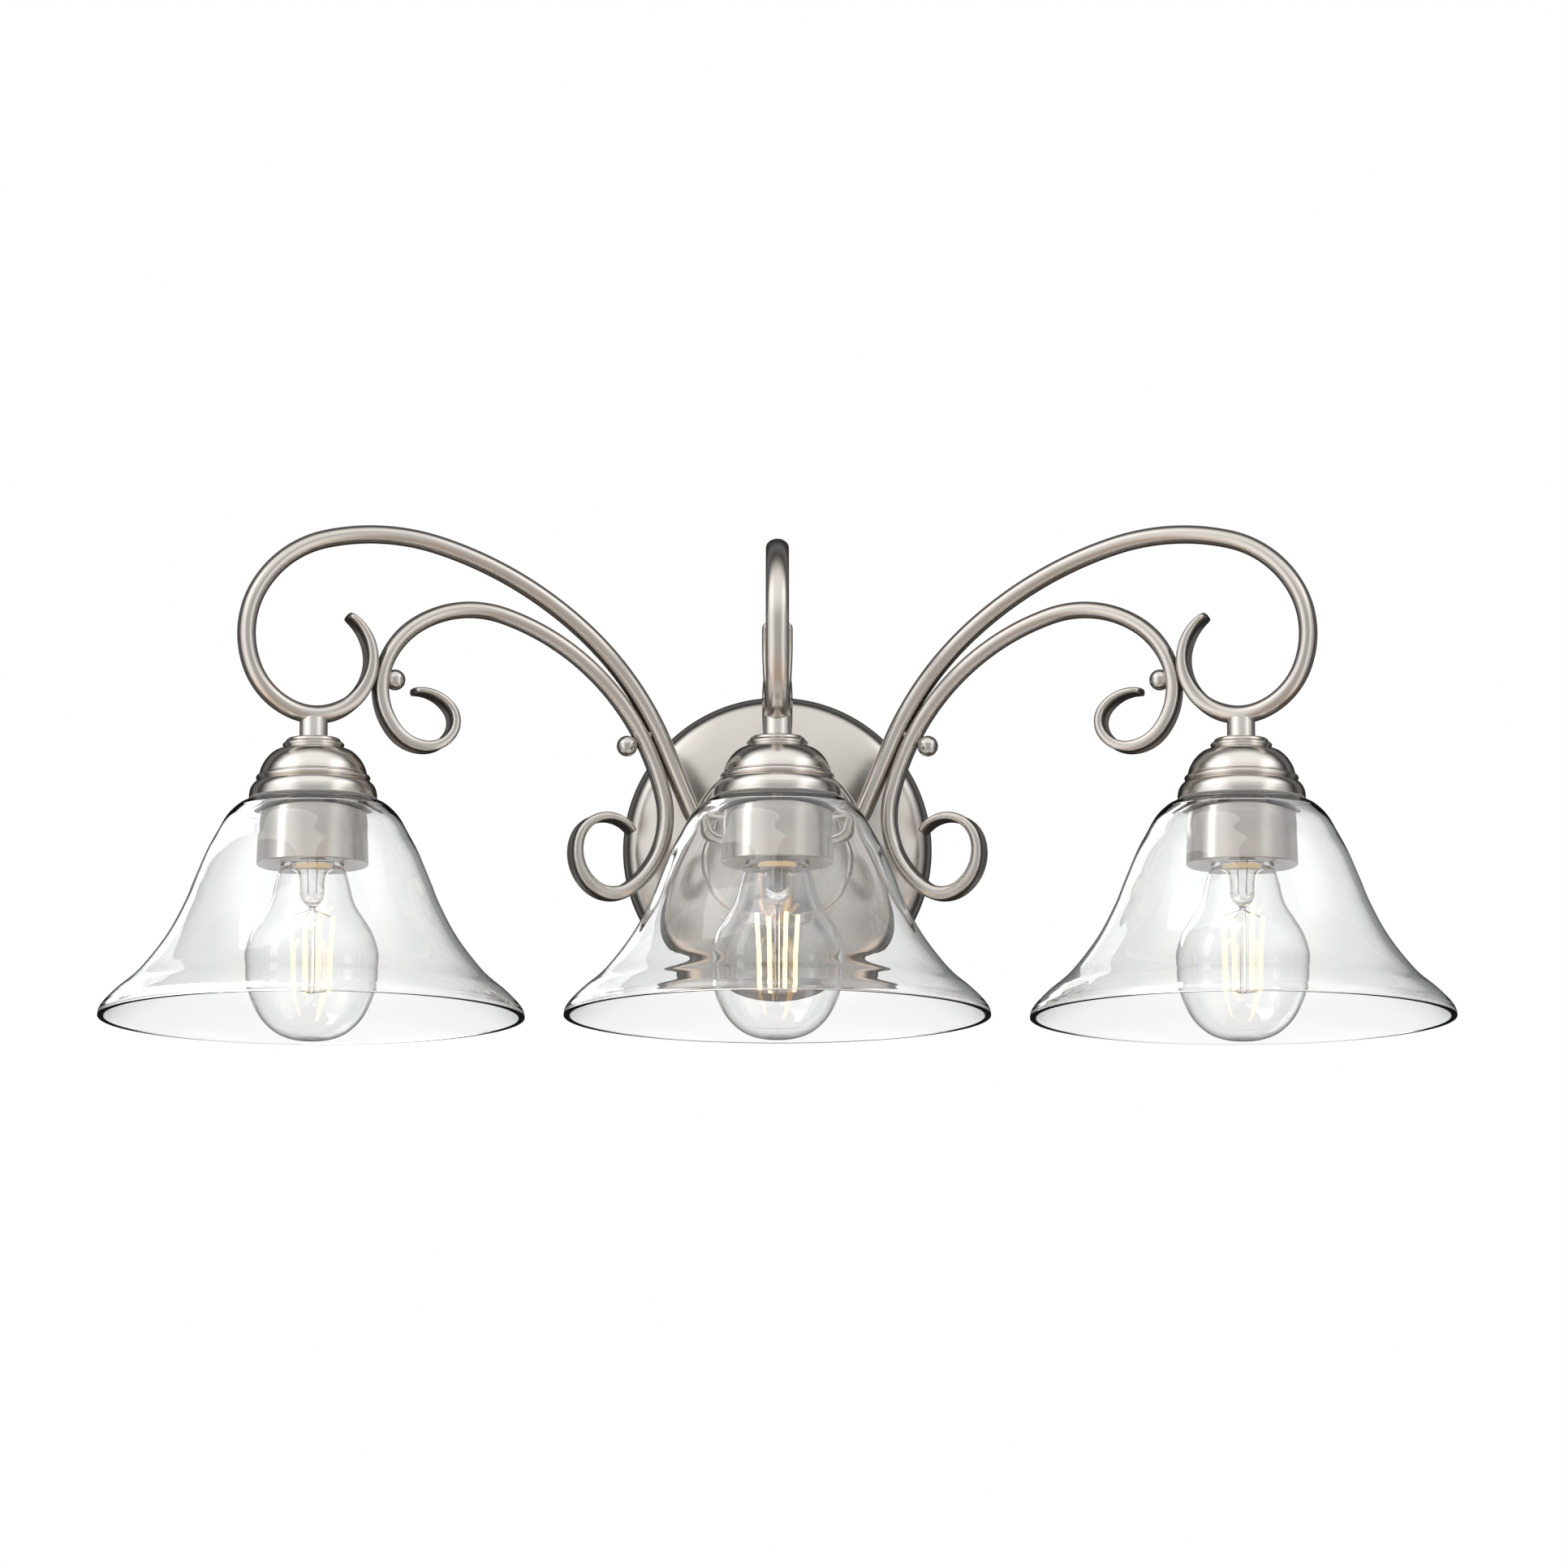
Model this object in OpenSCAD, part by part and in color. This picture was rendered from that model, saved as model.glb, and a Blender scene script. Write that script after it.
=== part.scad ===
// Wall-mounted vanity light bar: a round domed canopy carries three scrolled tube arms.
// Each arm hangs one lamp holder with a clear bell shade that opens downward over a clear bulb.
// Origin: centre of the canopy's back face, on the wall. +X along the bar, -Y out into the room, +Z up.

/* [Overall layout] */
// distance between neighbouring lamp axes
lamp_pitch = 209.4; // [200:0.2:255]
// distance of the side lamps' axes from the wall
side_lamp_out = 109.8; // [104:0.2:120]
// distance of the middle lamp's axis from the wall
mid_lamp_out = 115; // [112:0.5:122]
// distance of the hub's axis crossing from the wall
hub_out = 42; // [40:0.5:46]

/* [Canopy] */
// outside diameter of the canopy at the wall
canopy_d = 143; // [124:1:172]
// depth of the canopy's dome from the wall to its raised centre
canopy_h = 24; // [22:0.5:27]
// sheet thickness of the canopy
canopy_wall = 1.2; // [1:0.1:1.6]

/* [Arm tubes] */
// thickness of the main tube in the plane of its bends
arm_t = 8.3; // [7.4:0.1:8.4]
// width of the main tube across the plane of its bends
arm_w = 10.5; // [9.5:0.1:10.6]
// thickness of the scroll tube in the plane of its bends
scroll_t = 7.6; // [6.8:0.1:7.8]
// width of the scroll tube across the plane of its bends
scroll_w = 9.8; // [9:0.1:10.4]
// wall of the main tube
tube_wall = 1.2; // [1:0.1:1.4]
// width of the flattened tube ends
tip_w = 14; // [12:0.5:15]
// thickness of the flattened tube ends
tip_t = 2.8; // [2.2:0.1:3.2]
// diameter of the ball heads
ball_d = 9.5; // [8:0.1:10.5]

/* [Lamp holders] */
// diameter of the short neck under each arm
neck_d = 12.7; // [12:0.1:14]
// diameter of the holder's bottom lip
lip_d = 57.8; // [56:0.2:60]
// height of the holder from its top ring to its bottom lip
holder_h = 27.6; // [27:0.1:30]
// diameter of the shade collar at its lower edge
collar_d = 50.5; // [48:0.1:51]
// length of the shade collar
collar_h = 26.7; // [24:0.1:27.5]

/* [Glass shades] */
// diameter of the shade at its rim
shade_d = 192; // [178:1:230]
// height of the shade from its top face to its rim
shade_h = 98.5; // [92:0.5:118]
// glass thickness
glass_t = 2.8; // [2.2:0.1:3]
// diameter of the fitter hole in the shade's top
fitter_d = 42; // [41:0.1:43]

/* [Sockets and bulbs] */
// inside diameter of the screw shell
shell_bore = 26.4; // [26.3:0.05:26.6]
// diameter of the bulb at its widest
bulb_d = 60; // [56:0.5:62]
// length of the bulb's glass below its screw base
bulb_glass_h = 79.8; // [74:0.2:84]

/* [Hidden] */
$fn = 72;
eps = 0.01;
fit_gap = 0.05;        // clearance between parts that fit together
free_gap = 0.3;        // clearance between parts that turn past each other
ring_n = 16;           // sides of a bent tube
lead_n = 8;            // sides of a bent lead

// Bends of the side arm from the hub outward: [radius, turn in degrees], or [length, 0] for a straight.
arm_start = 11.5;      // the tubes' mouths stand this far off the hub's axis
side_bends = [[13.3, 0], [18.5, 66], [31.2, 0], [144.2, -26], [175.6, -25], [104.8, -30], [50.4, -45],
    [42.4, -50], [33.2, -50], [26.9, -50], [26.2, -50], [23.8, -67.6]];
scroll_from = [173.64, 58.47];
scroll_heading = 171.3;
scroll_bends = [[18.3, 60], [10.4, 70], [13.9, 60], [18.7, 50], [30, 50], [38.5, 45], [49.4, 50],
    [109.6, 60], [41, 70], [14.3, 70], [20.2, 70], [14.5, 130.6]];
side_low_bend = 9;     // the bend that holds the loop's lowest point
mid_low_bend = 7;
low_turn = -20;        // turned within that bend when the tube is level

// Bends of the middle arm, which rises straight off the top of the hub.
loop_k = 0.94;
mid_bends = [[130, -20], [42, -40], [33, -30], [104.8 * loop_k, -15], [50.4 * loop_k, -45],
    [42.4 * loop_k, -50], [33.2 * loop_k, -50], [26.9 * loop_k, -50], [26.2 * loop_k, -50],
    [23.8 * loop_k, -67.6]];
mid_scroll_from = [30.5, 57];
mid_scroll_heading = 166.1;
mid_scroll_bends = [[13.2, 60], [9.2, 70], [10.3, 60], [14.8, 50], [23.4, 50], [20.8, 44], [16.3, 120], [60, 8]];

// ---- bent tube geometry, in an upright plane: s along the arm, z up, heading 0 along +s ----
function arc_step(h, r, t) =
    t == 0 ? r * [cos(h), sin(h)]
    : sign(t) * r * [sin(h + t) - sin(h), cos(h) - cos(h + t)];
function bend_len(b) = b[1] == 0 ? b[0] : b[0] * abs(b[1]) * PI / 180;
function starts(bends, p, h, l, i = 0) =
    i >= len(bends) ? [[p, h, l]]
    : concat([[p, h, l]], starts(bends, p + arc_step(h, bends[i][0], bends[i][1]), h + bends[i][1],
        l + bend_len(bends[i]), i + 1));
function steps(b) = b[1] == 0 ? 1 : max(2, ceil(abs(b[1]) / (b[0] > 60 ? 6.5 : 9)));
// every station is [point, heading, length so far]
function stations(bends, p, h) =
    let (s = starts(bends, p, h, 0))
    concat([s[0]], [for (i = [0:len(bends) - 1]) let (b = bends[i], n = steps(b)) for (j = [1:n])
        let (t = b[1] * j / n, q = b[1] == 0 ? [b[0] * j / n, 0] : [b[0], t])
        [s[i][0] + arc_step(s[i][1], q[0], q[1]), s[i][1] + t, s[i][2] + bend_len(b) * j / n]]);
function scaled(bends, k) = [for (b = bends) [b[0] * k, b[1]]];
function at_length(st, l, i = 0) =
    i >= len(st) - 2 || st[i + 1][2] >= l
    ? let (f = (l - st[i][2]) / (st[i + 1][2] - st[i][2])) st[i] + f * (st[i + 1] - st[i])
    : at_length(st, l, i + 1);
function ease(x) = let (c = min(1, max(0, x))) c * c * (3 - 2 * c);

// Half-section of a tube that is round (oval) at f = 0, a pinched channel half way and a strip at f = 1.
// e narrows the strip's corners near its end.
function section(t, w, f, e) = [for (k = [0:ring_n - 1])
    let (a = 360 * k / ring_n,
        mid = t / 2 + (tip_t / 2 - t / 2) * ease(1.5 * f),
        bead = 3.4 * sin(180 * min(1, f * 0.9 + 0.1 * ease(f))) + 0.9 * f,
        half_w = (w + (tip_w - w) * ease(1.25 * f)) / 2)
    [cos(a) * (mid + bead * pow(sin(a), 2) * min(1, f * 4)), sin(a) * half_w * e]];
function place(st, sec) = [for (q = sec)
    [st[0][0] - sin(st[1]) * q[0], q[1], st[0][1] + cos(st[1]) * q[0]]];
function corner(d, r) = d >= r ? 1 : 0.6 + 0.4 * sqrt(max(0, 1 - pow(1 - d / r, 2)));

// The open channel's depth and where it begins are lengths along the tube.
function tube_rings(st, t, w, lead_in, lead_out) =
    let (total = st[len(st) - 1][2])
    [for (s = st) let (f = max(lead_in <= 0 ? 0 : 1 - s[2] / lead_in, 1 - (total - s[2]) / lead_out),
        d = lead_in <= 0 ? total - s[2] : min(s[2], total - s[2]))
        place(s, section(t, w, max(0, f), corner(d, 3)))];
function fine_ends(st, two) =
    let (n = len(st) - 1, a = st[0], b = st[n], total = b[2])
    concat([a], two ? [at_length(st, 0.8), at_length(st, 2)] : [],
        [for (i = [1:n - 1]) if ((!two || st[i][2] > 2.4) && st[i][2] < total - 2.4) st[i]],
        [at_length(st, total - 2), at_length(st, total - 0.8), b]);

function skin(rows, n, at, flip) = [for (i = [0:rows - 2]) for (k = [0:n - 1])
    let (a = at + i * n + k, b = at + i * n + (k + 1) % n, c = a + n, d = b + n)
    each flip ? [[a, c, b], [b, c, d]] : [[a, b, c], [b, d, c]]];

module solid_sweep(rings) {
    n = len(rings[0]);
    m = len(rings);
    polyhedron([for (r = rings) each r],
        concat([[for (k = [n - 1:-1:0]) k]], skin(m, n, 0, false), [[for (k = [0:n - 1]) (m - 1) * n + k]]));
}

// Outer rings run the whole tube; inner rings open at the first end and stop inside.
module hollow_sweep(rings, inner) {
    n = len(rings[0]);
    m = len(rings);
    q = len(inner);
    at = m * n;
    polyhedron([for (r = concat(rings, inner)) each r],
        concat([for (k = [0:n - 1]) let (b = (k + 1) % n) each [[k, at + k, b], [b, at + k, at + b]]],
            skin(m, n, 0, false), [[for (k = [0:n - 1]) (m - 1) * n + k]],
            skin(q, n, at, true), [[for (k = [n - 1:-1:0]) at + (q - 1) * n + k]]));
}

function oval(t, w, n) = [for (k = [0:n - 1]) [cos(360 * k / n) * t / 2, sin(360 * k / n) * w / 2]];

// ---- places worked out from the bends ----
side_unit = starts(side_bends, [arm_start, 0], 0, 0);
side_low_unit = side_unit[side_low_bend][0] + arc_step(side_unit[side_low_bend][1],
    side_bends[side_low_bend][0], low_turn);
side_yaw = atan2(side_lamp_out - hub_out, lamp_pitch);
side_reach = sqrt(pow(lamp_pitch, 2) + pow(side_lamp_out - hub_out, 2));
side_k = (side_reach - arm_start) / (side_low_unit[0] - arm_start);
side_st = fine_ends(stations(scaled(side_bends, side_k), [arm_start, 0], 0), false);
side_low = [side_reach, side_low_unit[1] * side_k];
side_low_len = side_k * (side_unit[side_low_bend][2]
    + bend_len([side_bends[side_low_bend][0], low_turn]));

mid_reach = mid_lamp_out - hub_out;
mid_unit = starts(mid_bends, [0, 0], 90, 0);
mid_low_unit = mid_unit[mid_low_bend][0] + arc_step(mid_unit[mid_low_bend][1],
    mid_bends[mid_low_bend][0], low_turn);
mid_k = mid_reach / mid_low_unit[0];
hub_r = 16;
mid_start = arm_start;
mid_riser = side_low[1] - mid_low_unit[1] * mid_k - mid_start;
mid_st = fine_ends(stations(concat([[mid_riser, 0]], scaled(mid_bends, mid_k)), [0, mid_start], 90), false);
mid_low_len = mid_riser + mid_k * (mid_unit[mid_low_bend][2]
    + bend_len([mid_bends[mid_low_bend][0], low_turn]));

scroll_st = fine_ends(stations(scaled(scroll_bends, side_k),
    [arm_start + (scroll_from[0] - arm_start) * side_k, scroll_from[1] * side_k], scroll_heading), true);
mid_scroll_st = fine_ends(stations(scaled(mid_scroll_bends, mid_k),
    [mid_scroll_from[0] * mid_k, side_low[1] + (mid_scroll_from[1] - 44.2) * mid_k], mid_scroll_heading), true);

// ball studs: [length along the scroll, reach past the scroll's centreline]
side_studs = [[88.8, 6.4], [249, 8.2]];
mid_studs = [[73.2, 6.4], [118, 8.6]];
stud_r = 1.6;
stud_in = 5.6;         // a stud's reach past the scroll's centreline, into the main tube

lamp_top = side_low[1] - 11.2;     // top face of every lamp holder
lamp_at = [[-lamp_pitch, -side_lamp_out], [0, -mid_lamp_out], [lamp_pitch, -side_lamp_out]];

// lamp holder heights, down from its top face
pipe_r = 4.85;                     // threaded pipes
pipe_bore_r = 3.4;
nut_af = 14;                       // lock nuts, across the flats
nut_h = 3;
cap_plate = 1.6;                   // thickness of the holder's top
lead_r = 1.3;
lead_way_r = lead_r + 1.1;         // holes that leads pass through
press_z = -holder_h + 0.6;
gasket_t = 1.2;
shade_top = press_z - gasket_t;
collar_top = shade_top - glass_t - free_gap;
collar_bottom = collar_top - collar_h;
collar_plate = 3;
collar_wall = 1.2;
collar_mouth_r = 14.3;             // the bulb passes this hole in the collar's bottom
socket_r = 18.9;
socket_bottom = collar_bottom + collar_wall + free_gap;
shell_bottom = collar_bottom + collar_wall + free_gap / 2;
shell_t = 0.4;
base_r = shell_bore / 2 - fit_gap;
base_bottom = shell_bottom - 0.65;
thread_pitch = 3.63;
base_h = 20;
tip_z = base_bottom + 26.3;

// ---- revolved profiles ----
function curve_at(a, b, c, d, t) = 0.5 * (2 * b + (c - a) * t + (2 * a - 5 * b + 4 * c - d) * t * t
    + (3 * b - a - 3 * c + d) * t * t * t);
// smooth curve through the given points
function smooth(p, n) = let (m = len(p) - 1)
    concat([for (i = [0:m - 1]) for (j = [0:n - 1])
        curve_at(p[max(0, i - 1)], p[i], p[i + 1], p[min(m, i + 2)], j / n)], [p[m]]);
function normal_at(p, i) = let (m = len(p) - 1, v = p[min(m, i + 1)] - p[max(0, i - 1)])
    [v[1], -v[0]] / norm(v);
function beside(p, d) = [for (i = [0:len(p) - 1]) p[i] + d * normal_at(p, i)];
function backwards(p) = [for (i = [len(p) - 1:-1:0]) p[i]];

module ring(ro, ri, h) {
    difference() {
        cylinder(r = ro, h = h);
        translate([0, 0, -eps])
            cylinder(r = ri, h = h + 2 * eps);
    }
}

// lock nut for the threaded pipes, its flats facing left and right
module pipe_nut() {
    difference() {
        rotate([0, 0, 30])
            cylinder(d = nut_af / cos(30), h = nut_h, $fn = 6);
        translate([0, 0, -eps])
            cylinder(r = pipe_r + fit_gap, h = nut_h + 2 * eps);
    }
}

// ---- canopy and wall hardware ----
canopy_r = canopy_d / 2;
step_r = canopy_r * 0.545;
step_y = canopy_h - 3;
lead_at = 9.8;         // leads pass the hub's back plate this far off its axis
hub_back = canopy_h;
hub_front = hub_out + 15;
hub_wall = 3;
bar_t = 2.5;

function canopy_skin(w) = concat(
    smooth([[canopy_r - w, 0], [canopy_r - 0.7 - w, canopy_h * 0.2], [canopy_r - 4.5 - w * 0.8, canopy_h * 0.43],
        [canopy_r - 11 - w * 0.4, canopy_h * 0.57 - w * 0.6], [canopy_r * 0.7, canopy_h * 0.72 - w],
        [step_r + 1.6, step_y - 0.9 - w]], 5),
    [[step_r - w, step_y + 1.1 - w], [step_r - 2.2 - w, step_y + 1.9 - w]]);

// everything made here stands on the wall: local +Z is out from the wall
module off_wall() {
    rotate([90, 0, 0])
        children();
}

module lead_ways(h) {
    for (p = [[-lead_at, 0], [0, lead_at], [lead_at, 0]])
        translate([p[0], p[1], 0])
            cylinder(r = lead_way_r, h = h);
}

module canopy() {
    color([0.72, 0.70, 0.67])
        off_wall()
            difference() {
                rotate_extrude()
                    polygon(concat([[0, canopy_h - canopy_wall]],
                        backwards(canopy_skin(canopy_wall)), canopy_skin(0), [[0, canopy_h]]));
                cylinder(r = pipe_r + fit_gap, h = canopy_h * 2);
                lead_ways(canopy_h * 2);
            }
}

bar_len = 108;
bar_w = 22;
slot_from = 33;
slot_to = 45.5;
slot_r = 2.2;
ground_x = 20;
ground_r = 2.4;

module mounting_bracket() {
    color([0.75, 0.75, 0.74])
        off_wall()
            difference() {
                union() {
                    translate([-bar_len / 2 + bar_w / 2, -bar_w / 2, 0])
                        cube([bar_len - bar_w, bar_w, bar_t]);
                    for (x = [-1, 1])
                        translate([x * (bar_len - bar_w) / 2, 0, 0])
                            cylinder(d = bar_w, h = bar_t);
                }
                translate([0, 0, -eps])
                    cylinder(r = pipe_r + fit_gap, h = bar_t + 2 * eps);
                for (x = [-1, 1])
                    translate([x * (slot_from + slot_to) / 2, 0, -eps])
                        slot(slot_to - slot_from, slot_r, bar_t + 2 * eps);
                translate([ground_x, 0, -eps])
                    cylinder(r = ground_r + fit_gap, h = bar_t + 2 * eps);
            }
}

module slot(length, r, h) {
    translate([-length / 2, -r, 0])
        cube([length, 2 * r, h]);
    for (x = [-1, 1])
        translate([x * length / 2, 0, 0])
            cylinder(r = r, h = h);
}

module ground_screw() {
    color([0.3, 0.55, 0.35])
        off_wall()
            translate([ground_x, 0, 0]) {
                cylinder(r = ground_r, h = bar_t + eps);
                translate([0, 0, bar_t])
                    difference() {
                        cylinder(r = 4.3, h = 2.6);
                        translate([-5, -0.5, 1.6])
                            cube([10, 1, 2]);
                    }
            }
}

module centre_pipe() {
    color([0.78, 0.77, 0.74])
        off_wall()
            difference() {
                cylinder(r = pipe_r, h = hub_front + 7);
                translate([0, 0, -eps])
                    cylinder(r = pipe_bore_r, h = hub_front + 8);
            }
}

// hexagon nuts: in front of the bracket and behind the canopy
module pipe_nuts() {
    color([0.78, 0.77, 0.74])
        off_wall()
            for (y = [bar_t, canopy_h - canopy_wall - nut_h - free_gap])
                translate([0, 0, y])
                    pipe_nut();
}

// ---- hub: a hollow turned drum between canopy and finial ----
module hub() {
    color([0.72, 0.70, 0.67])
        difference() {
            off_wall()
                difference() {
                    translate([0, 0, hub_back])
                        rotate_extrude()
                            polygon([[0, 0], [hub_r + 3, 0], [hub_r + 3, 1.6], [hub_r + 1.4, 2.6], [hub_r, 4.4],
                                [hub_r, hub_front - hub_back - 3], [hub_r - 2.4, hub_front - hub_back - 0.6],
                                [hub_r - 4, hub_front - hub_back], [0, hub_front - hub_back]]);
                    translate([0, 0, hub_back + 2.4])
                        cylinder(r = hub_r - hub_wall, h = hub_front - hub_back - 4.8);
                    cylinder(r = pipe_r + fit_gap, h = 100);
                    lead_ways(hub_back + 5);
                }
            arm_frame(0)
                tube_way(hub_r + 4);
            arm_frame(2)
                tube_way(hub_r + 4);
            arm_frame(1)
                rotate([0, -90, 0])
                    tube_way(hub_r + 4);
        }
}

// clearance for the straight end of an arm tube
module tube_way(length) {
    rotate([90, 0, 90])
        linear_extrude(length)
            polygon([for (q = oval(arm_t + 2 * fit_gap, arm_w + 2 * fit_gap, ring_n)) [q[1], q[0]]]);
}

module finial() {
    color([0.80, 0.79, 0.77])
        off_wall()
            translate([0, 0, hub_front])
                difference() {
                    rotate_extrude()
                        polygon(concat([[0, 0], [8, 0], [8, 2.4], [6.6, 3.4]],
                            [for (a = [-20:15:90]) [7.4 * cos(a), 8.4 + 7.4 * sin(a) * 0.8]], [[0, 14.4]]));
                    translate([0, 0, -eps])
                        cylinder(r = pipe_r + fit_gap, h = 8);
                }
}

// ---- arms: frames 0 left, 1 middle, 2 right ----
module arm_frame(i) {
    turn = [180 + side_yaw, -90, -side_yaw];
    translate([0, -hub_out, 0])
        rotate([0, 0, turn[i]])
            children();
}

// stud axes point to the scroll's inner side: local +Z here
module ball_on(st, s, k) {
    let (at = at_length(st, s[0] * k))
        translate([at[0][0], 0, at[0][1]])
            rotate([0, -at[1], 0])
                union() {
                    translate([0, 0, s[1]])
                        sphere(d = ball_d, $fn = 40);
                    translate([0, 0, -stud_in])
                        cylinder(r = stud_r, h = stud_in + s[1], $fn = 24);
                }
}

module stud_cut(st, s, k) {
    let (at = at_length(st, s[0] * k))
        translate([at[0][0], 0, at[0][1]])
            rotate([0, -at[1], 0]) {
                translate([0, 0, -stud_in - fit_gap])
                    cylinder(r = stud_r + fit_gap, h = 2 * stud_in + s[1], $fn = 24);
                translate([0, 0, s[1]])
                    sphere(d = ball_d + 2 * fit_gap, $fn = 40);
            }
}

module arm(i) {
    st = i == 1 ? mid_st : side_st;
    low = i == 1 ? mid_low_len : side_low_len;
    reach = i == 1 ? mid_reach : side_reach;
    k = i == 1 ? mid_k : side_k;
    studs = i == 1 ? mid_studs : side_studs;
    path = i == 1 ? mid_scroll_st : scroll_st;
    total = st[len(st) - 1][2];
    inner = [for (s = st) if (s[2] <= low + 3) place(s, oval(arm_t - 2 * tube_wall, arm_w - 2 * tube_wall, ring_n))];
    color([0.72, 0.70, 0.67])
        arm_frame(i)
            difference() {
                hollow_sweep(tube_rings(st, arm_t, arm_w, 0, total - low - 7), inner);
                translate([reach, 0, side_low[1] - arm_t])
                    cylinder(r = lead_way_r, h = arm_t);
                for (s = studs)
                    stud_cut(path, s, k);
            }
}

module scroll(i) {
    st = i == 1 ? mid_scroll_st : scroll_st;
    k = i == 1 ? mid_k : side_k;
    studs = i == 1 ? mid_studs : side_studs;
    total = st[len(st) - 1][2];
    lead_in = i == 1 ? 62 : 112;
    lead_out = i == 1 ? 30 : 92;
    color([0.72, 0.70, 0.67])
        arm_frame(i)
            difference() {
                solid_sweep(tube_rings(st, scroll_t, scroll_w, lead_in * k, lead_out * k));
                for (s = studs)
                    stud_cut(st, s, k);
            }
}

module ball_studs() {
    color([0.80, 0.79, 0.77])
        for (i = [0:2])
            arm_frame(i)
                for (s = i == 1 ? mid_studs : side_studs)
                    ball_on(i == 1 ? mid_scroll_st : scroll_st, s, i == 1 ? mid_k : side_k);
}

// ---- lamp holders ----
module at_lamp(i) {
    translate([lamp_at[i][0], lamp_at[i][1], lamp_top])
        children();
}

// the neck's top is coped to the underside of its arm
neck_h = 9.4;
module neck(i) {
    loop_r = i == 1 ? mid_k * mid_bends[mid_low_bend][0] : side_k * side_bends[side_low_bend][0];
    color([0.80, 0.79, 0.77])
        difference() {
            at_lamp(i)
                difference() {
                    cylinder(d = neck_d, h = neck_h);
                    translate([0, 0, -eps])
                        cylinder(r = pipe_r + fit_gap, h = 5.5);
                    cylinder(r = lead_way_r, h = 20);
                }
            arm_frame(i)
                translate([i == 1 ? mid_reach : side_reach, 0, side_low[1] + loop_r])
                    rotate([90, 0, 0])
                        rotate([0, 0, -120])
                            rotate_extrude(angle = 60)
                                translate([loop_r, 0])
                                    polygon(oval(arm_t + 0.24, arm_w + 0.24, 2 * ring_n));
        }
}

// turned holder: top ring, step, dome, bead and flared lip
module holder_cap() {
    lip_r = lip_d / 2;
    outer = concat([[0, 0], [11.4, 0], [12.2, -0.6], [12.3, -1.4], [13.2, -1.8], [13.9, -2.5], [13.9, -3.2],
            [13.3, -3.9]],
        smooth([[13.6, -4.4], [17.6, -5.9], [21, -9], [23.3, -12.8], [24.3, -16]], 4),
        [[23.9, -16.7]],
        [for (a = [80:-32:-80]) [24.6 + 1.2 * cos(a), -18 + 1.2 * sin(a)]],
        smooth([[lip_r - 3.4, -19.6], [lip_r - 1.7, -21.1], [lip_r - 0.5, -23.2], [lip_r, -holder_h + 2]], 4),
        [[lip_r, -holder_h + 0.3], [lip_r - 0.3, -holder_h], [lip_r - 1.1, -holder_h]]);
    inner = [[lip_r - 1.1, press_z], [22, press_z], [22, -14.6], [20.8, -11.4], [18.2, -8.4], [15.4, -6.8],
        [11.4, -5.2], [10.6, -cap_plate], [0, -cap_plate]];
    rotate_extrude()
        polygon(concat(outer, inner));
}

module cap(i) {
    color([0.72, 0.70, 0.67])
        at_lamp(i)
            difference() {
                holder_cap();
                translate([0, 0, -5])
                    cylinder(r = pipe_r + fit_gap, h = 10);
            }
}

module lamp_pipes() {
    color([0.78, 0.77, 0.74])
        for (i = [0:2])
            at_lamp(i)
                translate([0, 0, -11])
                    ring(pipe_r, pipe_bore_r, 16);
}

module lamp_nuts() {
    color([0.78, 0.77, 0.74])
        for (i = [0:2])
            at_lamp(i)
                translate([0, 0, -cap_plate - nut_h - 2 * fit_gap])
                    pipe_nut();
}

module socket(i) {
    color([0.93, 0.91, 0.86])
        at_lamp(i)
            difference() {
                rotate_extrude()
                    polygon([[0, -8], [9, -8], [10, -9], [10, -12], [socket_r - 2.5, -16.2], [socket_r, -18],
                        [socket_r, collar_top - collar_plate - 1.2], [socket_r - 1.8, collar_top - collar_plate - 3],
                        [16.6, socket_bottom + 1], [16, socket_bottom], [0, socket_bottom]]);
                translate([0, 0, -11.2])
                    cylinder(r = pipe_r + fit_gap, h = 8);
                translate([0, 0, -16])
                    cylinder(r = pipe_bore_r, h = 8);
                translate([0, 0, socket_bottom - eps])
                    cylinder(r = shell_bore / 2 + shell_t + fit_gap, h = tip_z + 3 - socket_bottom);
            }
}

module screw_shell(i) {
    color([0.78, 0.62, 0.34])
        at_lamp(i)
            translate([0, 0, shell_bottom])
                ring(shell_bore / 2 + shell_t, shell_bore / 2, 23.5);
}

// sprung centre contact above the bulb's tip
module contacts() {
    color([0.78, 0.62, 0.34])
        for (i = [0:2])
            at_lamp(i) {
                translate([0, 0, tip_z + free_gap])
                    cylinder(r = 3.6, h = 0.6);
                translate([0, 0, tip_z + free_gap + 0.5])
                    cylinder(r = 1.8, h = 3 - free_gap - 0.5 - fit_gap);
            }
}

module gaskets() {
    color([0.8, 0.8, 0.8])
        for (i = [0:2])
            at_lamp(i)
                translate([0, 0, shade_top])
                    ring(27, fitter_d / 2 + 1.2, gasket_t);
}

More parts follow.
